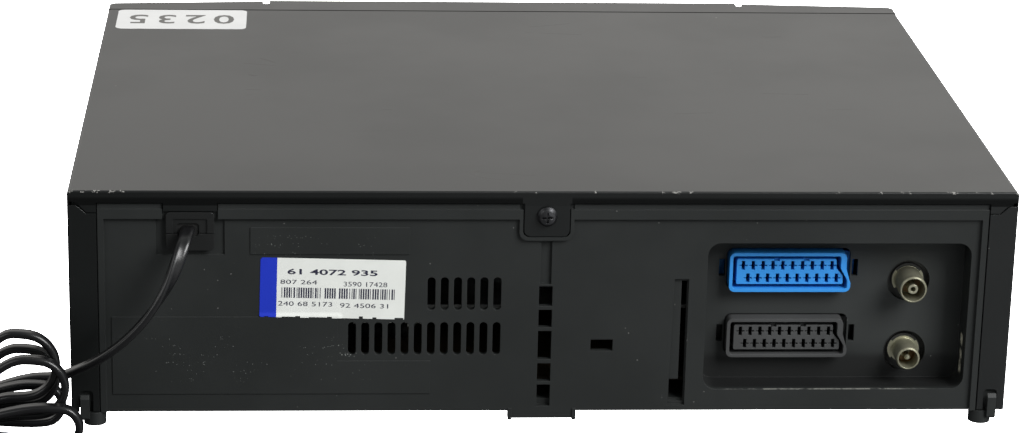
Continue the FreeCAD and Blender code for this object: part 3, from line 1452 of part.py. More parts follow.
def contact_cross(x, level):
    """Hole over one contact: an upright slot crossed by the slit of its spring."""
    near, far = S.contact_width / 2, S.spring_slit_length / 2
    low, high = S.spring_slit_width / 2, S.contact_height / 2
    return [(x - near, level - high), (x + near, level - high), (x + near, level - low),
            (x + far, level - low), (x + far, level + low), (x + near, level + low),
            (x + near, level + high), (x - near, level + high), (x - near, level + low),
            (x - far, level + low), (x - far, level - low), (x - near, level - low)]


def make_wide_sockets():
    """Two 21-pole sockets: outer rim, a shield gap and an insert with two contact rows."""
    made = []
    face = RECESS_BACK + S.socket_proud
    for name, level in (("upper_socket", S.socket_upper_z), ("lower_socket", S.socket_lower_z)):
        socket = Piece(name)
        socket.pad("y", JACK_BOARD_BACK, face, socket_outline(level, 0, S.socket_slant))
        socket.cut("y", face - 10, face, socket_outline(level, S.socket_rim, S.insert_slant),
                   socket_outline(level, S.socket_rim + S.socket_gap, S.insert_slant))
        socket.cut("y", face - 1, face,
                   socket_outline(level, S.socket_rim + 0.1, S.insert_slant))
        first = S.socket_x + S.contact_pitch * 4.75
        for row, shift_x in ((1, 0), (-1, S.contact_pitch / 2)):
            middle = level + S.contact_row_gap / 2 * row
            slot = socket.cut("y", face - 8, face, contact_cross(first - shift_x, middle))
            socket.in_row(slot, "H_Axis", S.contact_pitch, S.contact_count, True)
        insert_top = level + S.socket_height / 2 - S.socket_rim - S.socket_gap
        half_notch = S.insert_notch_width / 2
        socket.cut("y", face - 3, face,
                   *[rect(S.socket_x + aside - half_notch, insert_top - S.insert_notch_depth,
                          S.socket_x + aside + half_notch, insert_top + 0.3)
                     for aside in (5.2, -6.3)])
        socket.pad("y", JACK_BOARD_BACK, RECESS_BACK - S.wall - 4,
                   *[rect(S.socket_x + side * (S.socket_width / 2 - 1), level - 5,
                          S.socket_x + side * (S.socket_width / 2 + 3), level + 5)
                     for side in (1, -1)])
        made.append(socket)
    return made


def make_cord_grommet():
    """Two-part clamp that holds the cord in the back wall, with a slit between halves."""
    grommet = Piece("cord_grommet")
    x, half = S.grommet_x, S.grommet_width / 2
    neck = half - 1.5 - S.gap / 2
    front = FIELD + S.grommet_proud
    grommet.pad("y", WALL_INSIDE - 4, FIELD + 0.5,
                rect(x - neck, S.grommet_bottom + 1.5 + S.gap / 2, x + neck,
                     S.grommet_top))
    grommet.pad("y", FIELD + 0.1, front,
                rect(x - half, S.grommet_bottom, x + half, S.grommet_top, 1.5))
    grommet.pad("y", WALL_INSIDE - 12, WALL_INSIDE - 0.2,
                rect(x - half, S.grommet_bottom, x + half, S.grommet_top, 1.5))
    grommet.cut("y", front - S.grommet_step, front,
                rect(x - half + S.grommet_frame, S.grommet_split,
                     x + half - S.grommet_frame, S.grommet_top - S.grommet_frame, 0.5))
    wide, tall = S.cord_width / 2 + 1.5, S.cord_thickness / 2 + 0.8
    grommet.cut("y", front - S.cord_seat, front,
                rect(CORD_EXIT_X - wide, CORD_EXIT_Z - tall, CORD_EXIT_X + wide,
                     CORD_EXIT_Z + tall, 1.2))
    grommet.cut("y", front - 0.8, front,
                rect(x - half, S.grommet_split - 0.15, x + half, S.grommet_split + 0.15))
    return grommet


def make_screws():
    """Cross-recessed cover screw at the back, and the four that hold the deck."""
    cover_screw = Piece("cover_screw", at=(0, REAR, S.screw_z), lean=((1, 0, 0), -90))
    head, shank = S.screw_radius, S.pilot_radius - S.running
    cover_screw.turned([(0, -S.boss_length + 2), (shank, -S.boss_length + 2.6),
                        (shank, 0), (head, 0), (head, 0.9), (head - 0.9, 1.9), (1.4, 2.3),
                        (0, 2.3)])
    cover_screw.cut("z", 0.7, 2.3, rect(-2, -0.4, 2, 0.4))
    cover_screw.cut("z", 0.7, 2.3, rect(-0.4, -2, 0.4, 2))
    deck_screws = Piece("deck_screws")
    deck_screws.pad("z", S.deck_top, S.deck_top + 2,
                    *[disc(x, y, S.deck_screw_head) for x, y in POSTS])
    deck_screws.pad("z", S.deck_top - S.deck_sheet - 9, S.deck_top,
                    *[disc(x, y, shank) for x, y in POSTS])
    deck_screws.cut("z", S.deck_top + 0.9, S.deck_top + 2,
                    *[rect(x - 1.9, y - 0.4, x + 1.9, y + 0.4) for x, y in POSTS])
    return cover_screw


def tangent_path(points):
    """Straight runs joined by tangent arcs, with the radius of each arc."""
    points = [Vector(*point) for point in points]
    starts = [points[0]]
    edges, radii = [], []
    for before, corner, after in zip(points, points[1:], points[2:]):
        back, ahead = before - corner, after - corner
        shorter = min(back.Length, ahead.Length)
        back.normalize()
        ahead.normalize()
        half_turn = (math.pi - back.getAngle(ahead)) / 2
        radius = 0.45 * shorter / math.tan(half_turn)
        tangent = radius * math.tan(half_turn)
        middle = back + ahead
        middle.normalize()
        crown = corner + middle * (radius / math.cos(half_turn) - radius)
        entry, leave = corner + back * tangent, corner + ahead * tangent
        edges.append(Part.LineSegment(starts[-1], entry).toShape())
        edges.append(Part.Arc(entry, crown, leave).toShape())
        starts.append(leave)
        radii.append(round(radius, 1))
    edges.append(Part.LineSegment(starts[-1], points[-1]).toShape())
    return Part.Wire(edges), radii


def make_power_cord():
    """Free stretch of the flat mains cord, from the back wall down to the hank."""
    seat = FIELD.value + S.grommet_proud.value - S.cord_seat.value
    route = [(CORD_EXIT_X.value + x, seat + y, CORD_EXIT_Z.value + z) for x, y, z in CORD_STEPS]
    path, radii = tangent_path(route)
    half = S.cord_thickness.value / 2
    across = S.cord_width.value / 2 - half
    start = Vector(*route[0])
    left, right = start + Vector(-across, 0, 0), start + Vector(across, 0, 0)
    up = Vector(0, 0, half)
    side = Vector(half, 0, 0)
    outline = Part.Wire([Part.LineSegment(left + up, right + up).toShape(),
                         Part.Arc(right + up, right + side, right - up).toShape(),
                         Part.LineSegment(right - up, left - up).toShape(),
                         Part.Arc(left - up, left - side, left + up).toShape()])
    tube = path.makePipeShell([outline], True, False)
    section = math.pi * half ** 2 + 4 * half * across
    print("power_cord radii", radii, "length", round(path.Length, 1), "volume / section * length",
          round(tube.Volume / (section * path.Length), 4))
    cord = DOC.addObject("Part::Feature", "power_cord")
    cord.Label = "power_cord"
    cord.Shape = tube
    PARTS.append(cord)
    return cord


def hank_wave(turn):
    """How tall one loop stands among the rest, from -1 to 1."""
    return math.cos(turn - HANK_TALLEST)


def hank_column(turn, middle_pitch):
    """Where a loop lies across the hank."""
    return HANK_MIDDLE_Y + (turn - S.hank_loops.value / 2) * middle_pitch


def hank_stations():
    """Points where the wound cord runs along X, as (way, point), from its first end."""
    radius = S.hank_wire_radius.value
    waist_x, waist_z, row = HANK_WAIST_X, S.hank_waist_z.value, S.hank_row_gap.value / 2
    loops = count_of(S.hank_loops)
    stations = [("run", CORD_JOINT), ("run", (waist_x, hank_column(0, HANK_PITCH), waist_z + row))]
    for turn in range(loops + 1):
        if turn:
            reach = HANK_NEAR_REACH + HANK_NEAR_SWELL * hank_wave(turn)
            low = radius + HANK_NEAR_LIFT * (1 + hank_wave(turn))
            near_x = (HANK_NEAR_X + HANK_NEAR_SPREAD * hank_wave(turn)
                      - HANK_NEAR_DRIFT * (turn - loops / 2))
            across = hank_column(turn, HANK_NEAR_PITCH)
            stations.append(("run", (near_x, across, low)))
            stations.append(("turn", (near_x, across, low + 2 * reach)))
            stations.append(("run", (waist_x, hank_column(turn, HANK_PITCH), waist_z + row)))
        if turn < loops:
            reach = HANK_FAR_REACH + HANK_FAR_SWELL * math.sin(2.4 * turn)
            far_x = HANK_FAR_X + HANK_FAR_SPREAD * math.cos(1.7 * turn)
            across = hank_column(turn, HANK_PITCH)
            stations.append(("run", (far_x, across, radius + 2 * reach)))
            stations.append(("turn", (far_x, across, radius)))
            stations.append(("run", (waist_x, across, waist_z - row)))
    stations.append(("run", PLUG_JOINT))
    return stations


def side_step(start, end):
    """Two arcs that carry a run along X over to another line along X."""
    along = end.x - start.x
    offset = Vector(0, end.y - start.y, end.z - start.z)
    if offset.Length < 0.01:
        return [Part.LineSegment(start, end).toShape()]
    half_turn = math.atan2(offset.Length, abs(along))
    radius = abs(along) / 2 / math.sin(2 * half_turn)
    offset.normalize()
    bulge = Vector(math.copysign(radius * math.sin(half_turn), along), 0, 0)
    bulge += offset * (radius * (1 - math.cos(half_turn)))
    middle = (start + end) / 2
    return [Part.Arc(start, start + bulge, middle).toShape(),
            Part.Arc(middle, end - bulge, end).toShape()]


def end_turn(start, end, outward):
    """Half a turn at one end of the hank."""
    reach = (end - start).Length / 2
    crown = (start + end) / 2 + Vector(outward * reach, 0, 0)
    return Part.Arc(start, crown, end).toShape()


def hank_path():
    """The wound cord's middle line: side steps and end turns, straight at both ends."""
    stations = [(kind, Vector(*point)) for kind, point in hank_stations()]
    lead = Vector(2 * S.hank_wire_radius.value, 0, 0)
    first, last = stations[0][1], stations[-1][1]
    edges = [Part.LineSegment(first, first + lead).toShape()]
    here = first + lead
    for kind, point in stations[1:]:
        if kind == "turn":
            edges.append(end_turn(here, point, 1 if here.x > HANK_WAIST_X else -1))
        else:
            target = point - lead if point == last else point
            edges.extend(side_step(here, target))
            point = target
        here = point
    edges.append(Part.LineSegment(here, last).toShape())
    return edges


def least_gap(edges, thickness, apart=14):
    """The least clear distance between two parts of the path that are not neighbours."""
    points, travel, total = [], [], 0
    for edge in edges:
        count = max(2, int(edge.Length / 1.5))
        for point in edge.discretize(count)[:-1]:
            points.append(point)
            travel.append(total)
            total += edge.Length / (count - 1)
    least = 1000
    for first in range(len(points)):
        for second in range(first + 1, len(points)):
            if travel[second] - travel[first] > apart:
                least = min(least, points[first].distanceToPoint(points[second]))
    return least - thickness


def make_cord_hank():
    """The rest of the cord, wound to and fro as one unbroken tube."""
    edges = hank_path()
    path = Part.Wire(edges)
    radius = S.hank_wire_radius.value
    start = Vector(*CORD_JOINT)
    ring = Part.Wire([Part.makeCircle(radius, start, Vector(1, 0, 0))])
    tube = path.makePipeShell([ring], True, False)
    print("cord_hank length", round(path.Length), "least gap",
          round(least_gap(edges, 2 * radius), 2), "volume / section * length",
          round(tube.Volume / (math.pi * radius ** 2 * path.Length), 4))
    hank = DOC.addObject("Part::Feature", "cord_hank")
    hank.Label = "cord_hank"
    hank.Shape = tube
    PARTS.append(hank)
    return hank


def make_cord_tie():
    """Band round the waist of the hank."""
    tie = Piece("cord_tie")
    reach = hank_column(count_of(S.hank_loops), HANK_PITCH) - HANK_MIDDLE_Y + S.hank_wire_radius + S.gap
    rise = S.hank_row_gap / 2 + S.hank_wire_radius + S.gap
    middle = S.hank_waist_z
    band = S.tie_thickness
    tie.pad("x", HANK_WAIST_X - 2.5, HANK_WAIST_X + 2.5,
            rect(HANK_MIDDLE_Y - reach - band, middle - rise - band,
                 HANK_MIDDLE_Y + reach + band, middle + rise + band, 2.5),
            rect(HANK_MIDDLE_Y - reach, middle - rise, HANK_MIDDLE_Y + reach, middle + rise, 1.5))
    return tie


def make_mains_plug():
    """Flat two-pin plug on the cord's end, lying on the surface."""
    plug = Piece("mains_plug")
    x, y, _ = PLUG_JOINT
    wide, thick = S.plug_width / 2, S.plug_thickness
    plug.pad("z", 0, thick,
             [(x, y - 5), (x + 12, y - 6.5), (x + 20, y - wide + 1.5, 6), (x + 28, y - wide, 3),
              (x + S.plug_length, y - wide), (x + S.plug_length, y + wide),
              (x + 28, y + wide, 3), (x + 20, y + wide - 1.5, 6), (x + 12, y + 6.5), (x, y + 5)])
    plug.cut("z", thick - 2.2, thick, rect(x - 1, y - wide, x + 12, y + wide))
    plug.cut("z", 0, 2.2, rect(x - 1, y - wide, x + 12, y + wide))
    plug.pad("x", x + S.plug_length, x + S.plug_length + S.plug_pin_length,
             *[disc(y + side * S.plug_pin_gap / 2, thick / 2, S.plug_pin_radius)
               for side in (1, -1)])
    return plug


CORD_EXIT_X = S.grommet_x + 0.8
CORD_EXIT_Z = as_size(78.7)
MAKERS = [make_top_cover, make_main_frame, make_bottom_plate, make_front_feet,
          make_front_panel, make_cassette_door, make_display_window, make_display_module,
          make_front_board, make_buttons, make_deck_plate, make_carriage_sides,
          make_cassette_holder, make_reels, make_idler_arm, make_idler_gear, make_drum,
          make_capstan_motor, make_capstan, make_clutch_pulley, make_capstan_belt,
          make_pinch_parts, make_guides, make_loader, make_tape_path, make_main_board,
          make_chips, make_capacitors, make_transformer, make_tuner_can,
          make_aerial_sockets, make_jack_board, make_wide_sockets, make_cord_grommet,
          make_screws, make_power_cord, make_cord_hank, make_cord_tie, make_mains_plug]


def main():
    for maker in MAKERS:
        maker()
    DOC.recompute()
    for thing in DOC.Objects:
        if "Invalid" in thing.State or "Error" in thing.State:
            raise RuntimeError(f"{thing.Label} failed: {thing.State}")
    os.makedirs("parts", exist_ok=True)
    for part in PARTS:
        shape = part.Shape
        if shape.isNull() or not shape.isValid():
            raise RuntimeError(f"{part.Label} has no valid shape")
        shape.exportStep(f"parts/{part.Label}.step")
        print(part.Label, len(shape.Solids), round(shape.Volume))


main()
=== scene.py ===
# %% [markdown]
# # A video cassette recorder, seen from behind
# The recorder is a folded steel lid over a moulded black frame. Its back wall holds a recess with
# two wide sockets and two aerial barrels, and a flat mains lead that ends in a hank and a plug.
# The construction is loaded ready made. This lesson gives every piece its finish and adds what is
# printed, stuck on or too supple to be modelled as a rigid part.

# %% Load the construction
import json

import bpy
import numpy as np
from mathutils import Matrix


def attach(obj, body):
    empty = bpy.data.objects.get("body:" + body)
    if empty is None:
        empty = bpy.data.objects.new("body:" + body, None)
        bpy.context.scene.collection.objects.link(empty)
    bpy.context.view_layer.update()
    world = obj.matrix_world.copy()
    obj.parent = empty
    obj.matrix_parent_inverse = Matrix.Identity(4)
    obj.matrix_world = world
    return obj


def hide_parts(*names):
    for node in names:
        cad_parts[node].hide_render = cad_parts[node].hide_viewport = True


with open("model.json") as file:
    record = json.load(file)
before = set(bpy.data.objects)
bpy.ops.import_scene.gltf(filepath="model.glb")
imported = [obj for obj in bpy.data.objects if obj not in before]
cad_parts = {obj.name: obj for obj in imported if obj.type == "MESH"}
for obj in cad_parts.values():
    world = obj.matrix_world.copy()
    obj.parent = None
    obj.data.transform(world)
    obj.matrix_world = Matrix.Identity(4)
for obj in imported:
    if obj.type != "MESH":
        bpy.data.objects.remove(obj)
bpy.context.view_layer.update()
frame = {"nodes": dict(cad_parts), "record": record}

# %% [markdown]
# ## Camera
# The photograph was taken from behind with a long lens, a little above the lid. A camera needs a
# place and three axes. The axes follow from how far it turns, dips and rolls, so each of the three
# can be corrected by itself.

# %% The camera
MM = 0.001
CAMERA_PLACE = np.array([91.7, 1267.5, 460.1]) * MM
CAMERA_TURN = -0.0695
CAMERA_DIP = 0.3215
CAMERA_ROLL = 0.0235
PHOTO_WIDTH_PIXELS = 1024
FOCAL_PIXELS = 3164
SENSOR_WIDTH = 36


def camera_axes(turn, dip, roll):
    """Right, up and backwards of a camera that looks along -Y, turned, dipped, then rolled."""
    ahead = np.array([np.sin(turn) * np.cos(dip), -np.cos(turn) * np.cos(dip), -np.sin(dip)])
    right = np.array([-np.cos(turn), -np.sin(turn), 0])
    up = np.cross(right, ahead)
    return (np.cos(roll) * right + np.sin(roll) * up,
            np.cos(roll) * up - np.sin(roll) * right, -ahead)


lens = bpy.data.cameras.new("camera")
lens.sensor_width = SENSOR_WIDTH
lens.lens = SENSOR_WIDTH * FOCAL_PIXELS / PHOTO_WIDTH_PIXELS
camera = bpy.data.objects.new("camera", lens)
bpy.context.scene.collection.objects.link(camera)
placed = np.eye(4)
placed[:3, :3] = np.array(camera_axes(CAMERA_TURN, CAMERA_DIP, CAMERA_ROLL)).T
placed[:3, 3] = CAMERA_PLACE
camera.matrix_world = Matrix(placed.tolist())
bpy.context.scene.camera = camera
print("lens of", round(lens.lens, 1), "mm")

# %% [markdown]
# ## Light and floor
# The object was shot on white, with broad soft light. Two large area lamps give the soft gleam on
# the cord. The right of the picture is a little lighter, so the stronger lamp stands on that side.
# The standard view transform keeps white paper white and the blues as strong as they are printed.

# %% Lamps
LAMP_AIM = (0, 0, 0.05)
LAMP_SIZE = 1.6


def area_lamp(name, place, power):
    """A square lamp at a place in metres, turned so that it shines at the recorder."""
    lamp = bpy.data.lights.new(name, "AREA")
    lamp.size = LAMP_SIZE
    lamp.energy = power
    holder = bpy.data.objects.new(name, lamp)
    bpy.context.scene.collection.objects.link(holder)
    back = np.array(place, float) - np.array(LAMP_AIM, float)
    back /= np.linalg.norm(back)
    right = np.cross([0, 0, 1], back)
    right /= np.linalg.norm(right)
    turned = np.eye(4)
    turned[:3, :3] = np.array([right, np.cross(back, right), back]).T
    turned[:3, 3] = place
    holder.matrix_world = Matrix(turned.tolist())
    print(name, "gives", power, "W from", place)


area_lamp("key_lamp", (-1.7, 1.7, 1.9), 125)
area_lamp("fill_lamp", (1.8, 1.8, 1.5), 16)

bpy.context.scene.view_settings.view_transform = "Standard"

# %% [markdown]
# ## Helpers for shapes
# Each new piece is a grid of points worked out as one array, or a flat outline given a thickness.
# Both end as one mesh whose object sits at the origin, so the place is in the mesh itself.

# %% Meshes from arrays


def quads(rows, columns, around=False):
    """Corner numbers of the quads of a grid, where a point's number is its row times the columns
    plus its column. With around, the last column is joined to the first."""
    last = columns if around else columns - 1
    row, column = np.meshgrid(np.arange(rows - 1), np.arange(last), indexing="ij")
    beside = (column + 1) % columns
    corners = (row * columns + column, row * columns + beside,
               (row + 1) * columns + beside, (row + 1) * columns + column)
    return np.stack([corner.ravel() for corner in corners], axis=1)


def new_piece(name, points, faces, body, smooth=False):
    """A piece from points and faces, which rides on a body."""
    mesh = bpy.data.meshes.new(name)
    mesh.from_pydata(np.asarray(points, float).reshape(-1, 3).tolist(), [],
                     [list(map(int, face)) for face in faces])
    mesh.polygons.foreach_set("use_smooth", [smooth] * len(mesh.polygons))
    mesh.validate()
    piece = bpy.data.objects.new(name, mesh)
    bpy.context.scene.collection.objects.link(piece)
    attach(piece, body)
    print(name, "has", len(mesh.polygons), "faces")
    return piece


def plate(name, outline, place, along, up, thickness, body):
    """A flat outline of (along, up) points, raised by its thickness over the place it lies on."""
    along, up = np.array(along, float), np.array(up, float)
    out = np.cross(along, up)
    flat = np.array(place) + outline[:, :1] * along + outline[:, 1:] * up
    count = len(outline)
    points = np.concatenate([flat, flat + out * thickness])
    faces = quads(2, count, around=True).tolist()
    faces += [list(range(count))[::-1], list(range(count, 2 * count))]
    return new_piece(name, points, faces, body)


def rounded_rectangle(width, height, radius, steps=6):
    """Outline of a rectangle about the origin: four quarter circles joined by its sides."""
    angle = np.linspace(0, np.pi / 2, steps)
    turns = np.arange(4)[:, None] * np.pi / 2 + angle[None, :]
    side = np.array([[1, 1], [-1, 1], [-1, -1], [1, -1]], float)
    middle = side * (np.array([width, height]) / 2 - radius)
    arcs = np.stack([np.cos(turns), np.sin(turns)], axis=-1) * radius
    return (middle[:, None, :] + arcs).reshape(-1, 2)


# %% [markdown]
# ## The studio floor
# A wide pale sheet under the object catches its soft shadow. It is part of the studio, not of the
# recorder.

# %% Floor
FLOOR_REACH = 6.0
floor_corners = np.array([(-1, -1, 0), (1, -1, 0), (1, 1, 0), (-1, 1, 0)]) * FLOOR_REACH
floor_mesh = bpy.data.meshes.new("studio_floor")
floor_mesh.from_pydata(floor_corners.tolist(), [], [(0, 1, 2, 3)])
floor = bpy.data.objects.new("studio_floor", floor_mesh)
bpy.context.scene.collection.objects.link(floor)
print("the floor is", 2 * FLOOR_REACH, "m wide")

# %% [markdown]
# ## The mains lead
# The lead is a flat twin cord, 5.2 mm wide. It leaves the grommet flat, turns on its edge as it
# bends down, and is wound to and fro in a hank beside the recorder. Its route is a smooth spline:
# listed points down the back wall, then the hank's runs and end turns from a formula. The
# cord's section is carried along that spline, and its wide way is kept square to each loop.
#
# The hank's near end is the one beside the recorder. All the numbers of the route are millimetres,
# but for the two beats, which let the far turns differ from one another.

# %% Route of the lead
CORD_EXIT = np.array([134.7, 140.5, 78.7])
CORD_STEPS = [(0, 0, 0), (0.4, 7.2, -0.4), (2.3, 12.7, -5), (5.2, 15.8, -13), (10, 18, -22),
              (16.4, 19.4, -30.6), (24.2, 19.6, -38.6), (33, 17.8, -45.6), (41.5, 14.6, -51),
              (48.6, 11.5, -54.8)]
HANK_LOOPS = 6
HANK_NEAR_X = 188
HANK_NEAR_SPREAD = 7
HANK_NEAR_DRIFT = 2
HANK_NEAR_REACH = 9
HANK_NEAR_SWELL = 3.5
HANK_NEAR_LIFT = 10.5
HANK_NEAR_PITCH = 5.8
HANK_FAR_X = 272
HANK_FAR_SPREAD = 4
HANK_FAR_REACH = 8
HANK_FAR_SWELL = 2
HANK_REACH_BEAT = 2.4
HANK_PLACE_BEAT = 1.7
HANK_WAIST_X = 234
HANK_WAIST_Z = 12
HANK_ROW = 3
HANK_MIDDLE_Y = 170
HANK_TALLEST = 3
HANK_PITCH = 5.2
HANK_LOW = 2.1
PLUG_JOINT = (272, 204, 6.85)
CORNERS_PER_HALF_TURN = 6
CORD_WIDTH = 5.2 * MM
CORD_THICKNESS = 3.2 * MM


def half_turn(x, y, low, reach, outward, rising):
    """Corners round half a circle, a half turn of the hank in its upright plane. A quadratic
    spline touches the middle of each side of this polygon, so it follows the circle."""
    step = np.pi / CORNERS_PER_HALF_TURN
    angle = (np.arange(CORNERS_PER_HALF_TURN) + 0.5) * step - np.pi / 2
    corner = reach / np.cos(step / 2)
    return np.stack([x + outward * corner * np.cos(angle), np.full_like(angle, y),
                     low + reach + rising * corner * np.sin(angle)], axis=1)


def side_step(start, end):
    """Two points that carry a run along X over from one line to the next: a quarter of the way it
    is still on the first line, and at three quarters it is on the second."""
    (x0, y0, z0), (x1, y1, z1) = start, end
    return np.array([(x0 + 0.25 * (x1 - x0), y0, z0), (x0 + 0.75 * (x1 - x0), y1, z1)])


def hank_route(joint):
    """The wound cord from its joint to the plug: runs through the waist and turns at both ends.
    The near loops stand higher towards one of them, and each differs a little in reach."""
    upper, lower = HANK_WAIST_Z + HANK_ROW, HANK_WAIST_Z - HANK_ROW
    here = (HANK_WAIST_X, HANK_MIDDLE_Y - HANK_LOOPS / 2 * HANK_PITCH, upper)
    route = [side_step(joint, here)]
    for turn in range(HANK_LOOPS + 1):
        column = HANK_MIDDLE_Y + (turn - HANK_LOOPS / 2) * HANK_PITCH
        if turn:
            wave = np.cos(turn - HANK_TALLEST)
            reach = HANK_NEAR_REACH + HANK_NEAR_SWELL * wave
            low = HANK_LOW + HANK_NEAR_LIFT * (1 + wave)
            near_x = (HANK_NEAR_X + HANK_NEAR_SPREAD * wave
                      - HANK_NEAR_DRIFT * (turn - HANK_LOOPS / 2))
            across = HANK_MIDDLE_Y + (turn - HANK_LOOPS / 2) * HANK_NEAR_PITCH
            route += [side_step(here, (near_x, across, low)),
                      half_turn(near_x, across, low, reach, -1, 1),
                      side_step((near_x, across, low + 2 * reach), (HANK_WAIST_X, column, upper))]
            here = (HANK_WAIST_X, column, upper)
        if turn < HANK_LOOPS:
            reach = HANK_FAR_REACH + HANK_FAR_SWELL * np.sin(HANK_REACH_BEAT * turn)
            far_x = HANK_FAR_X + HANK_FAR_SPREAD * np.cos(HANK_PLACE_BEAT * turn)
            route += [side_step(here, (far_x, column, HANK_LOW + 2 * reach)),
                      half_turn(far_x, column, HANK_LOW, reach, 1, -1),
                      side_step((far_x, column, HANK_LOW), (HANK_WAIST_X, column, lower))]
            here = (HANK_WAIST_X, column, lower)
    route += [side_step(here, PLUG_JOINT), np.array([PLUG_JOINT])]
    return np.concatenate(route)


free_route = CORD_EXIT + np.array(CORD_STEPS)
route_points = np.concatenate([free_route, hank_route(free_route[-1])]) * MM
print("the lead's route has", len(route_points), "points")

# %% [markdown]
# Blender's NURBS curve turns those points into the smooth line. Order 3 makes it quadratic, and
# the end point setting makes it start and stop on its first and last point. Read back as a mesh
# without any bevel, it gives the stations that the section is carried through.

# %% From route to stations
STATIONS_PER_POINT = 8

curve = bpy.data.curves.new("lead_route", "CURVE")
curve.dimensions = "3D"
curve.resolution_u = STATIONS_PER_POINT
spline = curve.splines.new("NURBS")
spline.points.add(len(route_points) - 1)
spline.points.foreach_set("co", np.column_stack([route_points, np.ones(len(route_points))]).ravel())
spline.order_u = 3
spline.use_endpoint_u = True
route_object = bpy.data.objects.new("lead_route", curve)
bpy.context.scene.collection.objects.link(route_object)
bpy.context.view_layer.update()
line = bpy.data.meshes.new_from_object(route_object)
stations = np.empty(len(line.vertices) * 3)
line.vertices.foreach_get("co", stations)
stations = stations.reshape(-1, 3)
bpy.data.objects.remove(route_object)
runs = np.linalg.norm(np.diff(stations, axis=0), axis=1)
travelled = np.concatenate([[0], np.cumsum(runs)])
print("the lead is", round(travelled[-1], 3), "m long")

# %% Section carried along the stations
TWIST_START = 4 * MM
TWIST_END = 46 * MM
SECTION_STEPS = 24
WIDE_POWER = 0.8
THICK_POWER = 0.6
GROOVE_DEPTH = 0.16
GROOVE_WIDTH = 0.16 * CORD_WIDTH


def twin_section():
    """Outline of a flat twin cord: an ellipse, squared by powers below 1 of cosine and sine, and
    thinned along its middle by a bell curve."""
    angle = np.linspace(0, 2 * np.pi, SECTION_STEPS, endpoint=False)
    wide = CORD_WIDTH / 2 * np.sign(np.cos(angle)) * np.abs(np.cos(angle)) ** WIDE_POWER
    thick = CORD_THICKNESS / 2 * np.sign(np.sin(angle)) * np.abs(np.sin(angle)) ** THICK_POWER
    groove = 1 - GROOVE_DEPTH * np.exp(-(wide / GROOVE_WIDTH) ** 2)
    return np.stack([wide, thick * groove], axis=1)


def carried(path, wide_way, section):
    """Grid of points: the section set square to the path, its first way along wide_way."""
    ahead = np.gradient(path, axis=0)
    ahead /= np.linalg.norm(ahead, axis=1, keepdims=True)
    wide = wide_way - np.sum(wide_way * ahead, axis=1, keepdims=True) * ahead
    wide /= np.linalg.norm(wide, axis=1, keepdims=True)
    thick = np.cross(ahead, wide)
    return (path[:, None, :] + section[None, :, :1] * wide[:, None, :]
            + section[None, :, 1:] * thick[:, None, :])


def eased(value):
    """A value t held between 0 and 1, with a soft start and end: t squared times (3 - 2 t)."""
    value = np.clip(value, 0, 1)
    return value * value * (3 - 2 * value)


turned = eased((travelled - TWIST_START) / (TWIST_END - TWIST_START))[:, None] * np.pi / 2
wide_way = np.cos(turned) * np.array([1, 0, 0]) + np.sin(turned) * np.array([0, 1, 0])
section = twin_section()
lead_points = carried(stations, wide_way, section)
count = len(section)
lead_faces = quads(len(stations), count, around=True).tolist()
lead_faces += [list(range(count))[::-1],
               list(range((len(stations) - 1) * count, len(stations) * count))]
mains_lead = new_piece("mains_lead", lead_points, lead_faces, "recorder",
                       smooth=True)
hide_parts("power_cord", "cord_hank")

# %% [markdown]
# ## Helpers for finishes
# A finish is a small network of nodes. These helpers add a node, join sockets and do arithmetic,
# so that the networks below read like formulas.

# %% Wiring of nodes


class Wiring:
    """Adds nodes to one tree and joins them."""

    def __init__(self, tree):
        self.tree = tree

    def put(self, socket, value):
        """Joins a socket to another one, or sets it to a plain value."""
        if isinstance(value, bpy.types.NodeSocket):
            self.tree.links.new(value, socket)
        else:
            socket.default_value = value

    def add(self, kind, sockets=None, **settings):
        """A node of a kind with its settings, and its named sockets filled."""
        node = self.tree.nodes.new(kind)
        for name, value in settings.items():
            setattr(node, name, value)
        for name, value in (sockets or {}).items():
            self.put(node.inputs[name], value)
        return node

    def calc(self, operation, *values):
        """The result of one arithmetic step."""
        node = self.add("ShaderNodeMath", operation=operation)
        for socket, value in zip(node.inputs, values):
            self.put(socket, value)
        return node.outputs[0]

    def ramp(self, value, low, high, to_low=0.0, to_high=1.0):
        """A value carried smoothly from one range to another."""
        node = self.add("ShaderNodeMapRange", {"Value": value, "From Min": low, "From Max": high,
                        "To Min": to_low, "To Max": to_high}, interpolation_type="SMOOTHSTEP")
        return node.outputs[0]

    def mix(self, mask, first, second):
        """The first colour where the mask is 0 and the second where it is 1."""
        node = self.add("ShaderNodeMix", data_type="RGBA")
        for socket, value in ((node.inputs[0], mask), (node.inputs[6], first),
                              (node.inputs[7], second)):
            self.put(socket, value)
        return node.outputs[2]

    def apart(self, value, other):
        """How far two values are from each other."""
        return self.calc("ABSOLUTE", self.calc("SUBTRACT", value, other))

    def length(self, first, second):
        """The length of a way from its two parts, which are square to each other."""
        squares = self.calc("ADD", self.calc("MULTIPLY", first, first),
                            self.calc("MULTIPLY", second, second))
        return self.calc("SQRT", squares)

    def place(self, output="Object"):
        """The point on the object, in metres, or another way to find a place on it."""
        return self.add("ShaderNodeTexCoord").outputs[output]

    def ways(self, vector):
        """The X, Y and Z of a vector."""
        return self.add("ShaderNodeSeparateXYZ", {"Vector": vector}).outputs

    def noise(self, vector, scale, detail=3.0, roughness=0.5):
        """Cloudy noise from 0 to 1."""
        node = self.add("ShaderNodeTexNoise", {"Vector": vector, "Scale": scale, "Detail": detail,
                                               "Roughness": roughness})
        return node.outputs[0]


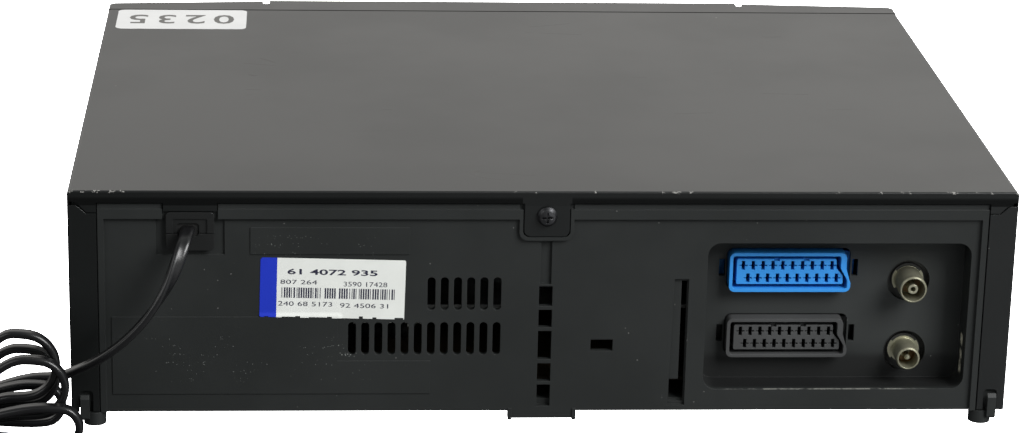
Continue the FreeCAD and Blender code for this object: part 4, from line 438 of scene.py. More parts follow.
def new_group(name, inputs, outputs):
    """A reusable effect with named inputs and outputs, and what is needed to wire its inside."""
    tree = bpy.data.node_groups.new(name, "ShaderNodeTree")
    for label, default in inputs.items():
        socket = tree.interface.new_socket(label, in_out="INPUT", socket_type="NodeSocketFloat")
        socket.default_value = default
    for label in outputs:
        tree.interface.new_socket(label, in_out="OUTPUT", socket_type="NodeSocketFloat")
    wiring = Wiring(tree)
    print("group", name, "takes", list(inputs), "and gives", list(outputs))
    return (tree, wiring, wiring.add("NodeGroupInput").outputs,
            wiring.add("NodeGroupOutput").inputs)


# %% [markdown]
# ## The room
# The lid shines because it mirrors a bright, warm wall beyond the front panel at a low angle. The
# back stays dark because the room behind the camera is dim and cool, and dimmer still on the side
# of the mains lead. So the world's light depends on the way it comes from.

# %% World
DIM_ROOM = (0.10, 0.38)
BRIGHT_WALL = (0.80, 0.92)
DIM_FROM_TO = (0.1, -0.25)
BRIGHT_FROM_TO = (0.05, -0.22)
WALL_FROM_TO = (0.3, -0.7)
COOL = (0.93, 1.0, 0.99, 1)
WARM = (1.0, 0.985, 0.95, 1)

world = bpy.data.worlds.new("studio")
world.use_nodes = True
room = Wiring(world.node_tree)
ways = room.ways(room.place("Generated"))
wall = room.ramp(ways["Y"], *WALL_FROM_TO)
dim = room.ramp(ways["X"], *DIM_FROM_TO, *DIM_ROOM)
bright = room.ramp(ways["X"], *BRIGHT_FROM_TO, *BRIGHT_WALL)
backdrop = world.node_tree.nodes["Background"].inputs
gain = room.calc("SUBTRACT", bright, dim)
room.put(backdrop["Strength"], room.calc("MULTIPLY_ADD", wall, gain, dim))
room.put(backdrop["Color"], room.mix(wall, COOL, WARM))
bpy.context.scene.world = world
print("the room's light comes from", len(world.node_tree.nodes), "nodes")

# %% [markdown]
# ## Effects that several finishes share
# Moulded plastic and painted steel are never quite even: they have a fine skin, clouds where hands
# and cloths have been, specks of dust and fine scratches. Each is one group.

# %% Skin: a fine height and slow clouds
skin_group, wiring, given, result = new_group(
    "skin", {"Grain Scale": 1500.0, "Cloud Scale": 14.0}, ("Height", "Clouds"))
spot = wiring.place()
wiring.put(result["Height"], wiring.noise(spot, given["Grain Scale"], 2.0, 0.6))
clouds = wiring.noise(spot, given["Cloud Scale"], 4.0, 0.6)
wiring.put(result["Clouds"], wiring.ramp(clouds, 0.3, 0.7))

# %% Dust: sparse round specks in patches
dust_group, wiring, given, result = new_group(
    "dust", {"Scale": 800.0, "Size": 0.15, "Share": 0.05, "Patch Scale": 18.0}, ("Mask",))
spot = wiring.place()
cells = wiring.add("ShaderNodeTexVoronoi", {"Vector": spot, "Scale": given["Scale"]})
chosen = wiring.add("ShaderNodeSeparateColor", {"Color": cells.outputs["Color"]})
patch = wiring.ramp(wiring.noise(spot, given["Patch Scale"], 3.0), 0.42, 0.72)
limit = wiring.calc("MULTIPLY", given["Share"], patch)
present = wiring.calc("LESS_THAN", chosen.outputs[0], limit)
reach = wiring.calc("MULTIPLY", given["Size"], wiring.calc("ADD", chosen.outputs[1], 0.35))
speck = wiring.calc("LESS_THAN", cells.outputs["Distance"], reach)
wiring.put(result["Mask"], wiring.calc("MULTIPLY", present, speck))

# %% Scratches: thin curved lines where stretched noise crosses its middle value
MIDDLE_VALUE = 0.52
SCRATCHED_SCALE = 23.0
LEAST_GATE = 0.3
scratch_group, wiring, given, result = new_group(
    "scratches", {"Turn": 0.6, "Scale": 10.0, "Width": 0.002, "Share": 0.3}, ("Mask",))
spot = wiring.place()
angle = wiring.add("ShaderNodeCombineXYZ", {"Z": given["Turn"]})
turned_spot = wiring.add("ShaderNodeMapping", {"Vector": spot, "Rotation": angle.outputs[0],
                                               "Scale": (0.22, 1.0, 1.0)})
streaks = wiring.noise(turned_spot.outputs[0], given["Scale"], 1.0, 0.3)
line_mask = wiring.calc("LESS_THAN", wiring.apart(streaks, MIDDLE_VALUE), given["Width"])
limit = wiring.calc("ADD", LEAST_GATE, wiring.calc("MULTIPLY", given["Share"], 0.3))
gate = wiring.calc("LESS_THAN", wiring.noise(spot, SCRATCHED_SCALE, 2.0), limit)
wiring.put(result["Mask"], wiring.calc("MULTIPLY", line_mask, gate))

# %% [markdown]
# ## Worn edges of the lid
# Paint chips off the lid where it is folded. One group measures how far a point is from the three
# kinds of edge of a box with given faces, and lets noise decide how far the bare metal reaches in.
# A second group adds the larger chips of the rear fold, each at a place and of a width in mm.

# %% Edge wear
edge_group, wiring, given, result = new_group(
    "edge_wear", {"Half Width": 0.1795, "Back": 0.1415, "Top": 0.094, "Reach": 0.0006,
                  "Scale": 60.0, "Share": 0.5}, ("Mask",))
spot = wiring.place()
ways = wiring.ways(spot)
from_side = wiring.calc("SUBTRACT", wiring.calc("ABSOLUTE", ways["X"]), given["Half Width"])
from_back = wiring.calc("SUBTRACT", ways["Y"], given["Back"])
from_top = wiring.calc("SUBTRACT", ways["Z"], given["Top"])
side_edges = wiring.calc("MINIMUM", wiring.length(from_side, from_top),
                         wiring.length(from_side, from_back))
nearest = wiring.calc("MINIMUM", wiring.length(from_back, from_top), side_edges)
patches = wiring.ramp(wiring.noise(spot, given["Scale"], 4.0, 0.7), 0.5, 0.75)
ragged = wiring.calc("MULTIPLY", wiring.calc("MULTIPLY", patches, given["Share"]), given["Reach"])
wiring.put(result["Mask"], wiring.calc("LESS_THAN", nearest, ragged))

# %% Chips of the rear fold
CHIP_GRAIN = 1300.0
CHIP_PLACES = [(178.5, 4), (173, 5), (168.5, 4), (163.4, 5), (159, 3), (12, 1.2), (4.5, 1.0),
               (-18, 1), (-43.5, 2), (-48.6, 5), (-54, 3), (-110, 3), (-126.2, 2), (-136, 6),
               (-153.7, 6), (-163.3, 1.5), (-169, 1.5), (-178.6, 3)]
chip_group, wiring, given, result = new_group(
    "fold_chips", {"Back": 0.1415, "Top": 0.094, "Reach": 0.0009}, ("Mask",))
spot = wiring.place()
ways = wiring.ways(spot)
down = wiring.calc("SUBTRACT", given["Top"], ways["Z"])
inward = wiring.calc("SUBTRACT", given["Back"], ways["Y"])
away = wiring.calc("ADD", down, inward)
ragged = wiring.calc("MULTIPLY", given["Reach"],
                     wiring.ramp(wiring.noise(spot, CHIP_GRAIN, 2.0), 0.42, 0.66))
mask = 0.0
for middle, width in CHIP_PLACES:
    fading = wiring.ramp(wiring.apart(ways["X"], middle * MM), 0.2 * width * MM,
                         0.6 * width * MM, 1.0, 0.0)
    chip = wiring.calc("LESS_THAN", away, wiring.calc("MULTIPLY", ragged, fading))
    mask = wiring.calc("MAXIMUM", mask, chip)
wiring.put(result["Mask"], mask)

# %% [markdown]
# ## The lid's rear lip and front seam
# The lid's rear lip turns in below its fold, and painted shade darkens it and takes away its gloss,
# all but the screw tab in its middle. Far forward, a thin black seam runs across the top where the
# lid meets the front panel.

# %% Lip and seam
LIP_Y = 141.1
LIP_TOP = 93.2
LIP_SHADED = 90.2
LIP_LOW = 88.3
TAB_HALF_WIDTH = 9.3
SEAM_Y = -124.0
SEAM_HALF_WIDTHS = (0.9, 1.4)
# Shade is the painted shade of the rear lip; Seam is the dark joint at the front
lip_group, wiring, given, result = new_group("lip_shade", {"Least": 0.35}, ("Shade", "Seam"))
ways = wiring.ways(wiring.place())
behind = wiring.calc("GREATER_THAN", ways["Y"], LIP_Y * MM)
lower = wiring.ramp(ways["Z"], LIP_TOP * MM, LIP_SHADED * MM)
beside_tab = wiring.calc("GREATER_THAN", wiring.calc("ABSOLUTE", ways["X"]),
                         TAB_HALF_WIDTH * MM)
shade = wiring.calc("MAXIMUM", wiring.calc("MULTIPLY", lower, beside_tab), given["Least"])
on_lip = wiring.calc("MULTIPLY", behind, wiring.calc("GREATER_THAN", ways["Z"], LIP_LOW * MM))
wiring.put(result["Shade"], wiring.calc("MULTIPLY", shade, on_lip))
inner, outer = SEAM_HALF_WIDTHS
seam = wiring.ramp(wiring.apart(ways["Y"], SEAM_Y * MM), inner * MM, outer * MM, 1.0, 0.0)
on_top = wiring.calc("GREATER_THAN", ways["Z"], LIP_TOP * MM)
wiring.put(result["Seam"], wiring.calc("MULTIPLY", seam, on_top))

# %% [markdown]
# ## Painted light and marks of use on the back wall
# Light and shade are painted in the socket recess. Its floor is made a little paler than the wall
# as painted light, its lower rim has a thin painted highlight that comes and goes, and two painted
# glints stand on its side wall. The sill at its foot is darkened as painted shade. Dust has
# gathered in rows on the lower field, and in a patch above the label.
# Each mark fills a box with soft sides, broken up by noise or by specks.

# %% Boxes with soft sides


def in_box(ways, *spans):
    """Where a point lies in a box, given in mm as spans along X, Y and Z, fading at its sides."""
    mask = 1.0
    for way, (start, end) in zip("XYZ", spans):
        half = (end - start) / 2 * MM
        aside = wiring.apart(ways[way], (start + end) / 2 * MM)
        mask = wiring.calc("MULTIPLY", mask, wiring.ramp(aside, 0.6 * half, half, 1.0, 0.0))
    return mask


# %% Painted light in the recess: highlights, a paler floor and a shaded sill
# Boxes in mm: a painted highlight line, two painted glints, a paler floor as painted light, a sill
# in painted shade
RIM_HIGHLIGHT = ((-152, -64), (139.0, 140.4), (13.4, 14.0))
SIDE_WALL_GLINTS = [((-164, -162), (130.5, 135), (28.6, 34.2)), ((-164, -162), (130.5, 135), (17, 28))]
LIT_RECESS_FLOOR = ((-170, -55), (125, 129), (20, 80))
SHADED_RECESS_SILL = ((-180, -45), (125, 139.5), (5, 25))
recess_light_group, wiring, given, result = new_group("painted_recess_light", {"Scale": 240.0},
                                             ("Line", "Streaks", "Recess", "Sill"))
spot = wiring.place()
ways = wiring.ways(spot)
broken = wiring.ramp(wiring.noise(spot, given["Scale"], 3.0, 0.7), 0.4, 0.6)
wiring.put(result["Line"], wiring.calc("MULTIPLY", in_box(ways, *RIM_HIGHLIGHT), broken))
both = wiring.calc("ADD", in_box(ways, *SIDE_WALL_GLINTS[0]), in_box(ways, *SIDE_WALL_GLINTS[1]))
wiring.put(result["Streaks"],
           wiring.calc("MULTIPLY", both, wiring.ramp(broken, 0.0, 0.6, 0.2, 1.0)))
wiring.put(result["Recess"], in_box(ways, *LIT_RECESS_FLOOR))
wiring.put(result["Sill"], in_box(ways, *SHADED_RECESS_SILL))

# %% Dust in rows
LOWER_FIELD = ((58, 163), (139, 141), (15, 38))
UPPER_PATCH = ((60, 114), (139, 141), (67.5, 77))
ROW_PITCH = 3.4
rows_group, wiring, given, result = new_group("dusty_rows", {"Share": 0.55}, ("Mask",))
spot = wiring.place()
ways = wiring.ways(spot)
phase = wiring.calc("SINE", wiring.calc("MULTIPLY", ways["Z"], 2 * np.pi / (ROW_PITCH * MM)))
fields = wiring.calc("ADD", in_box(ways, *LOWER_FIELD), in_box(ways, *UPPER_PATCH))
specks = wiring.add("ShaderNodeGroup", {"Scale": 1500.0, "Size": 0.3, "Patch Scale": 60.0,
                                        "Share": given["Share"]}, node_tree=dust_group)
in_fields = wiring.calc("MULTIPLY", specks.outputs["Mask"], fields)
wiring.put(result["Mask"], wiring.calc("MULTIPLY", in_fields, wiring.ramp(phase, -0.2, 0.4)))

# %% [markdown]
# ## Finishes
# Every finish starts from the Principled shader. Its plain numbers are set on the shader itself,
# and only what changes over the surface comes from a group. Most finishes are one of three kinds,
# plastic, metal or paper, so a function makes each kind from its colour and gloss.

# %% A finish and its parts
EDGE_RADIUS = 0.0003
COARSE = 0.00002
FINE = 0.00001


def socket_name(label):
    """A socket's own spelling of a keyword, such as Coat Weight for coat_weight."""
    return label.replace("_", " ").title().replace("Ior", "IOR")


class Finish(Wiring):
    """One material: its shader, and the effects that are wired into it."""

    def __init__(self, name, colour, roughness, metallic=0.0, **more):
        self.material = bpy.data.materials.new(name)
        self.material.use_nodes = True
        super().__init__(self.material.node_tree)
        self.shader = self.tree.nodes["Principled BSDF"]
        self.colour = (*colour, 1)
        self.rough = roughness
        self.metal = metallic
        for label, value in more.items():
            self.shader.inputs[socket_name(label)].default_value = value

    def effect(self, group, output=0, **inputs):
        """One output of a shared effect, placed with its own values."""
        node = self.add("ShaderNodeGroup", node_tree=group)
        for label, value in inputs.items():
            self.put(node.inputs[socket_name(label)], value)
        return node.outputs[output]

    def tint(self, mask, colour, roughness=None, metallic=None):
        """Where the mask is 1 the finish takes another colour, and if given another gloss."""
        self.colour = self.mix(mask, self.colour, (*colour, 1))
        if roughness is not None:
            self.rough = self.ramp(mask, 0, 1, self.rough, roughness)
        if metallic is not None:
            self.metal = self.ramp(mask, 0, 1, self.metal, metallic)

    def clouded(self, scale, colour, roughness=None):
        """Slow clouds of another colour and gloss."""
        self.tint(self.effect(skin_group, "Clouds", cloud_scale=scale), colour, roughness)

    def grained(self, scale, depth):
        """Raises a fine grain by a depth in metres, rounds the edges and ends the material."""
        soft = self.add("ShaderNodeBevel", {"Radius": EDGE_RADIUS}, samples=4)
        height = self.effect(skin_group, "Height", grain_scale=scale)
        node = self.add("ShaderNodeBump", {"Height": height, "Distance": depth, "Strength": 1.0,
                                           "Normal": soft.outputs[0]})
        self.put(self.shader.inputs["Normal"], node.outputs[0])
        return self.done()

    def done(self):
        """Joins colour, roughness and metal to the shader and gives the material."""
        self.put(self.shader.inputs["Base Color"], self.colour)
        self.put(self.shader.inputs["Roughness"], self.rough)
        self.put(self.shader.inputs["Metallic"], self.metal)
        return self.material


def times(colour, factor):
    """A colour made brighter or darker."""
    return tuple(factor * part for part in colour)


def plastic(name, colour, roughness, grain=1500.0, depth=COARSE, cloud=1.25, dust_share=0.03,
            **more):
    """Moulded plastic: a fine grain, clouds of handling and a little dust."""
    made = Finish(name, colour, roughness, **more)
    made.clouded(16.0, times(colour, cloud), roughness * 1.2)
    made.tint(made.effect(dust_group, share=dust_share), (0.22, 0.22, 0.21), 0.9)
    return made.grained(grain, depth)


def metal(name, colour, roughness, grain=500.0):
    """Bare metal: bright, with a dull bloom in clouds."""
    made = Finish(name, colour, roughness, 1.0)
    made.clouded(70.0, times(colour, 0.75), roughness * 1.6)
    return made.grained(grain, FINE)


def paper(name, colour):
    """Printed paper under a thin film: almost even, with faint clouds."""
    made = Finish(name, colour, 0.5)
    made.clouded(60.0, times(colour, 0.94))
    return made.done()


def parted(made, output, way, test, limit, *other, grain=1800.0):
    """Gives a finish another look where a place or a normal passes a test along one way."""
    there = made.calc(test, made.ways(made.place(output))[way], limit)
    made.tint(there, *other)
    return made.grained(grain, FINE)


# %% [markdown]
# The back wall is the matt side of the recorder. One even black would look like a drawing, so its
# marks of use and its painted light and shade in the recess are laid over each other, each as a
# mask and a colour, from the broadest to the smallest.

# %% Back wall
def back_wall():
    """Grained black plastic of the frame, with dust, and painted light, glints and shade in the
    socket recess.
    """
    made = Finish("back_plastic", (0.0132, 0.0148, 0.0144), 0.5, specular_ior_level=0.35)
    made.clouded(16.0, (0.0166, 0.0184, 0.018), 0.56)
    # painted light: the recess floor is made paler, as if lit from the right
    made.tint(made.effect(recess_light_group, "Recess"), (0.026, 0.0285, 0.028), 0.55)
    # painted shade: the sill at the recess's foot is darkened
    made.tint(made.effect(recess_light_group, "Sill"), (0.005, 0.0055, 0.0055), 0.6)
    made.tint(made.effect(dust_group, share=0.05), (0.12, 0.12, 0.115), 0.9)
    made.tint(made.effect(rows_group), (0.19, 0.2, 0.19), 0.8)
    # painted highlight: a thin broken glint along the recess's lower rim
    made.tint(made.effect(recess_light_group, "Line"), (0.16, 0.16, 0.145), 0.4)
    # painted glints: two bright streaks on the recess's side wall
    made.tint(made.effect(recess_light_group, "Streaks"), (0.5, 0.48, 0.38), 0.4)
    return made.grained(2200.0, COARSE)


# %% [markdown]
# Each aerial socket is one solid, yet its barrel, flange and insulator look different. They are
# told apart by their distance from the barrel's axis. The two sockets stand one above the other,
# so one formula serves both: it counts the height from the middle between them.

# %% Aerial sockets
AERIAL_X = -141.8
AERIAL_MIDDLE_Z = 39.2
AERIAL_HALF_PITCH = 14.4
BARREL_RADIUS = 5.4
BORE_RADIUS = 4.35
PIN_RADIUS = 1.9
LUG_RADIUS = 6.15
INSULATOR_Y = 130.2


def aerial_nickel():
    """Tarnished nickel. Round each barrel the flange is dull but for two bright lugs, and deep in
    the bore stands an amber insulator."""
    made = Finish("nickel", (0.46, 0.445, 0.33), 0.34, 0.75)
    ways = made.ways(made.place())
    aside = made.apart(ways["X"], AERIAL_X * MM)
    from_middle = made.apart(ways["Z"], AERIAL_MIDDLE_Z * MM)
    radius = made.length(aside, made.calc("SUBTRACT", from_middle, AERIAL_HALF_PITCH * MM))
    made.clouded(160.0, (0.30, 0.295, 0.21), 0.42)
    hub = made.calc("GREATER_THAN", radius, PIN_RADIUS * MM)
    bore = made.calc("MULTIPLY", hub, made.calc("LESS_THAN", radius, BORE_RADIUS * MM))
    deep = made.calc("LESS_THAN", ways["Y"], INSULATOR_Y * MM)
    made.tint(made.calc("MULTIPLY", bore, deep), (0.20, 0.11, 0.04), 0.5, 0.0)
    flange = made.calc("GREATER_THAN", radius, BARREL_RADIUS * MM)
    dull = made.calc("MAXIMUM", made.calc("GREATER_THAN", radius, LUG_RADIUS * MM),
                     made.calc("LESS_THAN", aside, made.calc("MULTIPLY", radius, 0.8)))
    made.tint(made.calc("MULTIPLY", flange, dull), (0.02, 0.02, 0.019), 0.6, 0.2)
    return made.grained(900.0, FINE)


# %% [markdown]
# The front panel is smoother than the back. The seam runs over its edge too, and black metal is
# used for it: it has no colour of its own and, where it is rough, hardly mirrors the bright wall.

# %% Front panel
SEAM_BLACK = (0.0005, 0.0005, 0.0005)


def front_plastic():
    """Fine black plastic, dark along the seam where the lid begins."""
    made = Finish("front_plastic", (0.008, 0.008, 0.0085), 0.3)
    made.clouded(16.0, (0.0095, 0.0095, 0.010), 0.34)
    made.tint(made.effect(dust_group, share=0.01), (0.2, 0.2, 0.19), 0.9)
    made.tint(made.effect(lip_group, "Seam"), SEAM_BLACK, 0.9, 1.0)
    return made.grained(2600.0, FINE)


# %% [markdown]
# The lid is the largest face in the picture. It is nearly black, and its grey comes from the wall
# that it mirrors, so its gloss matters more than its colour. The lip below the rear fold is painted
# into shade: it is made partly metal for the same reason as the seam, and that takes most of its
# gloss away.

# %% Painted lid
LID_SCRATCHES = [(0.4, 0.25), (1.9, 0.2), (2.6, 0.15)]
LIP_PAINTED_SHADE = (0.0079, 0.0085, 0.0084)


def lid_paint():
    """Satin paint on steel: clouds and fine scratches, a few specks, bare folds, and painted shade
    on the rear lip.
    """
    made = Finish("lid_paint", (0.0042, 0.005, 0.0049), 0.3)
    made.clouded(9.0, (0.006, 0.0069, 0.0068), 0.34)
    for turn, share in LID_SCRATCHES:
        scuff = made.effect(scratch_group, turn=turn, share=share, scale=11.0, width=0.0012)
        made.tint(scuff, (0.05, 0.049, 0.047), 0.5)
    made.tint(made.effect(dust_group, share=0.012, scale=420.0, size=0.1), (0.5, 0.49, 0.47), 0.8)
    made.tint(made.effect(edge_group, share=0.5, reach=0.0005), (0.30, 0.29, 0.27), 0.4, 0.5)
    made.tint(made.effect(chip_group), (0.36, 0.35, 0.33), 0.45, 0.3)
    # painted shade: the rear lip below the fold is darkened and loses its gloss
    made.tint(made.effect(lip_group), LIP_PAINTED_SHADE, 0.6, 0.9)
    made.tint(made.effect(lip_group, "Seam"), SEAM_BLACK, 0.9, 1.0)
    return made.grained(2600.0, FINE)


# %% [markdown]
# The construction names a slot for each of its pieces. Every slot gets its finish here, and a loop
# over the record dresses the pieces. The buttons share the front panel's slot, but they are a
# little paler, so that they show.

# %% Finishes by slot
FINISHES = {
    "lid_steel": lid_paint(),
    "back_plastic": back_wall(),
    "front_plastic": front_plastic(),
    "window_plastic": plastic("window_plastic", (0.006, 0.006, 0.008), 0.08, depth=0.000002,
                              dust_share=0.008, coat_weight=1.0, coat_roughness=0.03),
    "bare_steel": metal("bare_steel", (0.6, 0.6, 0.58), 0.34, grain=240.0),
    "nickel": aerial_nickel(),
    "dark_screw": metal("dark_screw", (0.10, 0.10, 0.105), 0.25, grain=1200.0),
    "blue_plastic": plastic("blue_plastic", (0.026, 0.24, 0.65), 0.42, cloud=1.12, dust_share=0.01),
    "black_plastic": plastic("black_plastic", (0.006, 0.0062, 0.0065), 0.42, dust_share=0.015),
    "white_plastic": plastic("white_plastic", (0.62, 0.61, 0.57), 0.4, dust_share=0.0),
    "black_rubber": plastic("black_rubber", (0.008, 0.008, 0.008), 0.75, grain=900.0),
    "cord_vinyl": plastic("cord_vinyl", (0.005, 0.005, 0.0055), 0.26, depth=0.000004,
                          dust_share=0.01),
    "circuit_board": plastic("circuit_board", (0.05, 0.034, 0.015), 0.5, dust_share=0.02),
    "chip_resin": plastic("chip_resin", (0.02, 0.02, 0.02), 0.55, dust_share=0.0),
    "aluminium": metal("aluminium", (0.78, 0.78, 0.79), 0.3, grain=700.0),
}


def dress(thing, finish):
    """Gives all of an object's faces one finish."""
    if not thing.material_slots:
        thing.data.materials.append(finish)
    for place in thing.material_slots:
        place.material = finish


keys = plastic("key_plastic", (0.021, 0.021, 0.022), 0.34, dust_share=0.0)
for entry in frame["record"]["subparts"]:
    is_key = (entry["material_slot"] == "front_plastic"
              and entry["node"] not in ("front_panel", "cassette_door"))
    dress(frame["nodes"][entry["node"]], keys if is_key else FINISHES[entry["material_slot"]])
dress(mains_lead, FINISHES["cord_vinyl"])

# %% [markdown]
# A few pieces differ from the rest of their slot. Past a place along X the plug's pins are bright
# metal. Inside the grommet the cord hole is painted black as shadow. Each capacitor is a can in a
# dark sleeve, and only its top, which looks up, is aluminium, darkened as painted shade. The lower
# socket is a paler copy of the black plastic as painted light, and the tuner can and the loading
# motor and worm are darkened as painted shade.

# %% Finishes of single pieces
PIN_START = 308.0
GROMMET_FACE_Y = 141.1
LOOKS_UP = 0.9

# painted shade: the steel of the loading motor and worm is darkened inside the recorder
shaded_steel = metal("shaded_steel", (0.03, 0.03, 0.03), 0.55)
PIECE_FINISHES = {
    "mains_plug": parted(Finish("plug_vinyl", (0.008, 0.008, 0.0085), 0.4), "Object", "X",
                         "GREATER_THAN", PIN_START * MM, (0.62, 0.6, 0.55), 0.25, 1.0),
    # painted shadow: the cord hole behind the grommet's face is black
    "cord_grommet": parted(Finish("grommet_black", (0.0075, 0.008, 0.008), 0.4), "Object", "Y",
                           "LESS_THAN", GROMMET_FACE_Y * MM, (0.001, 0.001, 0.001), 0.8),
    # painted shade: the aluminium tops are darkened to a dark grey
    "board_capacitors": parted(Finish("capacitor_sleeve", (0.006, 0.007, 0.014), 0.4), "Normal",
                               "Z", "GREATER_THAN", LOOKS_UP, (0.1, 0.1, 0.1), 0.5, 1.0,
                               grain=1200.0),
    # painted light: a paler copy of the black plastic for the socket in the shaded recess
    "lower_socket": plastic("lit_socket_black", (0.042, 0.043, 0.0435), 0.45),
    # painted shade: the tuner can's tinplate is darkened, as it lies in shade behind the aerial
    # sockets
    "tuner_can": metal("tuner_tinplate_shaded", (0.07, 0.07, 0.068), 0.5),
    "transformer": plastic("transformer_varnish", (0.012, 0.011, 0.009), 0.45),
    "loading_motor": shaded_steel,
    "loading_worm": shaded_steel,
}
for node, finish in PIECE_FINISHES.items():
    dress(frame["nodes"][node], finish)
print(len(PIECE_FINISHES), "pieces have a finish of their own")

# %% [markdown]
# ## The rating label
# A white label with a blue band is stuck on the back wall, a little askew. Its print is generic:
# plain numbers of no meaning and a row of bars. The label is a fine grid whose cells take their ink
# by a formula, and the cells outside its round corners and along its torn lower edge are left out.
# That edge laps over the step of the raised field below, as a soft label does.

# %% Rating label
LABEL_SIZE = np.array([54.8, 24.0])
LABEL_MIDDLE = np.array([80.5, 139.95, 54.7])
LABEL_TILT = np.radians(1.3)
LABEL_CELL = 0.3
LABEL_THICKNESS = 0.12
LABEL_CORNER = 1.2
TORN_PITCH = 1.7
TORN_LEAST = 0.25
TORN_MORE = 0.9
FIELD_TOP = 43.5
FIELD_SIDE = 78.4
FIELD_PROUD = 0.3
STEP_REACH = 2.0
BAND_WIDTH = 6.2
BARS_TOP = 11.7
BARS_TALL = 4.3
BARS_FROM_TO = (7.2, 50.6)
PAPER, BLUE_INK, DARK_INK = 0, 1, 2


def uneven(place, seed):
    """A number from 0 to 1 for each whole place, without order but the same each time: what a
    large sine has after its point."""
    value = np.sin(place * seed) * 9631.77
    return value - np.floor(value)


def bars(across, down):
    """Where the row of upright bars stands. Every third cell of the row is left empty, and so is
    about a quarter of the others, which makes the bars uneven."""
    start, end = BARS_FROM_TO
    place = np.floor((across - start) / LABEL_CELL)
    return ((down >= BARS_TOP) & (down < BARS_TOP + BARS_TALL) & (across >= start)
            & (across < end) & (place % 3 != 2) & (uneven(place, 78.233) > 0.25))


def on_label(u, v, rise):
    """Points in mm on the label: u and v from its middle, turned by its tilt, at a rise off the
    wall."""
    return np.stack([LABEL_MIDDLE[0] + u * np.cos(LABEL_TILT) - v * np.sin(LABEL_TILT),
                     np.full_like(u, LABEL_MIDDLE[1] + rise),
                     LABEL_MIDDLE[2] + u * np.sin(LABEL_TILT) + v * np.cos(LABEL_TILT)], axis=-1)


columns, rows = (LABEL_SIZE / LABEL_CELL).astype(int)
across = (np.arange(columns) + 0.5) * LABEL_CELL
down = (np.arange(rows) + 0.5) * LABEL_CELL
across, down = np.meshgrid(across, down)
ink = np.where(across < BAND_WIDTH, BLUE_INK, np.where(bars(across, down), DARK_INK, PAPER))

in_from_side = np.minimum(across, LABEL_SIZE[0] - across)
in_from_edge = np.minimum(down, LABEL_SIZE[1] - down)
short = LABEL_CORNER - np.stack([in_from_side, in_from_edge])
kept = np.hypot(*np.maximum(short, 0)) < LABEL_CORNER
torn = TORN_LEAST + TORN_MORE * uneven(np.floor(across / TORN_PITCH), 12.9898) ** 2
kept &= (in_from_edge > torn) | (down < LABEL_SIZE[1] / 2)
print("the label keeps", int(kept.sum()), "of", kept.size, "cells")

u, v = np.meshgrid(np.linspace(0.5, -0.5, columns + 1) * LABEL_SIZE[0],
                   np.linspace(0.5, -0.5, rows + 1) * LABEL_SIZE[1])
label_points = on_label(u, v, LABEL_THICKNESS)
label_points[..., 1] += (
    FIELD_PROUD * eased((FIELD_TOP + STEP_REACH - label_points[..., 2]) / STEP_REACH)
    * eased((label_points[..., 0] - FIELD_SIDE) / STEP_REACH + 1))
label_faces = quads(rows + 1, columns + 1)[kept.ravel()][:, ::-1]
label = new_piece("rating_label", label_points * MM, label_faces, "recorder")
backing = label.modifiers.new("backing", "SOLIDIFY")
backing.thickness = LABEL_THICKNESS * MM
backing.offset = -1
for name, colour in (("label_paper", (0.76, 0.775, 0.74)), ("label_blue", (0.006, 0.028, 0.47)),
                     ("label_ink", (0.02, 0.02, 0.045))):
    label.data.materials.append(paper(name, colour))
label.data.polygons.foreach_set("material_index", ink[kept])

# %% [markdown]
# The numbers are outlines of text, each with the place of its middle down the label, its height,
# its start and end along the label, all in mm, and how much its strokes are thickened.

# %% Printed numbers
PRINT_ROWS = [("61 4072 935", 5.35, 2.3, (10.2, 44.2), 0.02),
              ("807 264", 9.5, 1.7, (7.6, 21.5), 0.0),
              ("3590 17428", 9.9, 1.9, (31.5, 48.0), 0.0),
              ("240 68 5173", 18.2, 1.8, (6.9, 27.4), 0.0),
              ("92 4506 31", 18.5, 1.8, (30.3, 48.6), 0.0)]
PRINT_RISE = 0.03


def drawn_text(body, weight, spacing=1.0):
    """Points and faces of a line of text, stretched to a box of size 1 about the origin."""
    text = bpy.data.curves.new("text", "FONT")
    text.body = body
    text.offset = weight
    text.space_character = spacing
    text.resolution_u = 3
    shape = bpy.data.objects.new("text_shape", text)
    bpy.context.scene.collection.objects.link(shape)
    bpy.context.view_layer.update()
    drawn = bpy.data.meshes.new_from_object(shape)
    bpy.data.objects.remove(shape)
    flat = np.empty(len(drawn.vertices) * 3)
    drawn.vertices.foreach_get("co", flat)
    flat = flat.reshape(-1, 3)[:, :2]
    low, high = flat.min(axis=0), flat.max(axis=0)
    faces = [list(face.vertices) for face in drawn.polygons]
    return (flat - (low + high) / 2) / (high - low), faces


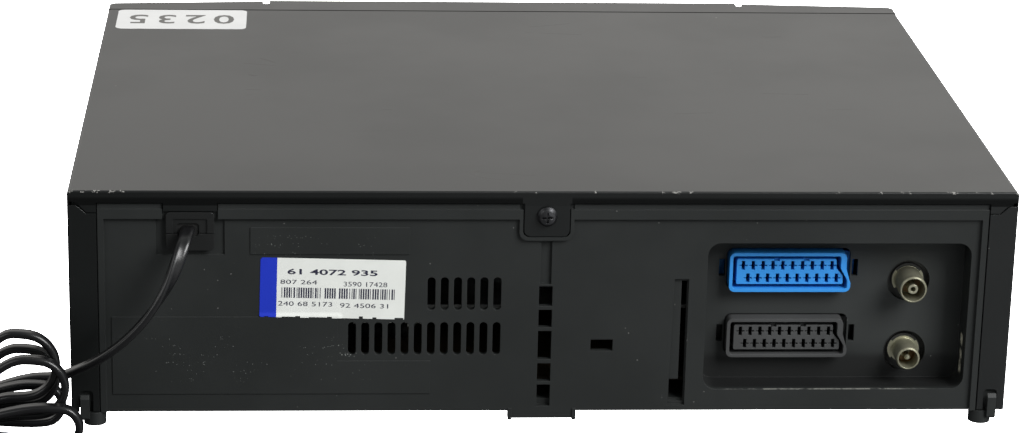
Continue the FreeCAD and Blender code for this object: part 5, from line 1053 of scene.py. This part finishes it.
print_points, print_faces = [], []
for body, row_down, tall, (start, end), weight in PRINT_ROWS:
    flat, faces = drawn_text(body, weight)
    u = LABEL_SIZE[0] / 2 - (start + end) / 2 - flat[:, 0] * (end - start)
    v = LABEL_SIZE[1] / 2 - row_down + flat[:, 1] * tall
    print_faces += [[corner + len(print_points) for corner in face] for face in faces]
    print_points += on_label(u, v, LABEL_THICKNESS + PRINT_RISE).tolist()
printed = new_piece("label_print", np.array(print_points) * MM, print_faces, "recorder")
printed.data.materials.append(label.data.materials[DARK_INK])

# %% [markdown]
# ## The number sticker
# A shop's number sticker lies on the far corner of the lid and is read from the front. It carries
# plain numbers of no meaning.

# %% Number sticker
STICKER_SIZE = (57.5, 32.5)
STICKER_MIDDLE = np.array([145.8, -106.0, 94.02])
STICKER_CORNER = 3.0
STICKER_THICKNESS = 0.1
DIGITS = "0235"
DIGITS_SIZE = (46.5, 15.0)
DIGITS_WEIGHT = 0.012
DIGITS_SPACING = 1.3

outline = rounded_rectangle(*STICKER_SIZE, STICKER_CORNER) * MM
sticker = plate("number_sticker", outline, STICKER_MIDDLE * MM, (1, 0, 0), (0, 1, 0),
                STICKER_THICKNESS * MM, "recorder")
sticker.data.materials.append(paper("sticker_paper", (0.72, 0.715, 0.71)))

flat, digit_faces = drawn_text(DIGITS, DIGITS_WEIGHT, DIGITS_SPACING)
digit_points = np.column_stack([flat * DIGITS_SIZE,
                                np.full(len(flat), STICKER_THICKNESS + PRINT_RISE)])
digits = new_piece("sticker_digits", (digit_points + STICKER_MIDDLE) * MM, digit_faces, "recorder")
digits.data.materials.append(paper("sticker_ink", (0.12, 0.116, 0.11)))

# %% [markdown]
# ## The floor's finish
# The photograph's ground is pure white, yet little of it is mirrored in the black back wall. So
# the floor glows for the camera alone, and stays a plain grey for the light that it returns, which
# is darker on the side of the mains lead.

# %% Floor finish
FLOOR_GLOW = 5.0
LIT_FROM_TO = (0.25, -0.35)
floor_finish = Finish("floor_white", (0.05, 0.05, 0.05), 0.6, emission_color=(1, 1, 1, 1))
along = floor_finish.ways(floor_finish.place())["X"]
floor_finish.tint(floor_finish.ramp(along, *LIT_FROM_TO), (0.21, 0.215, 0.22))
seen = floor_finish.add("ShaderNodeLightPath").outputs["Is Camera Ray"]
floor_finish.put(floor_finish.shader.inputs["Emission Strength"],
                 floor_finish.calc("MULTIPLY", seen, FLOOR_GLOW))
dress(floor, floor_finish.done())
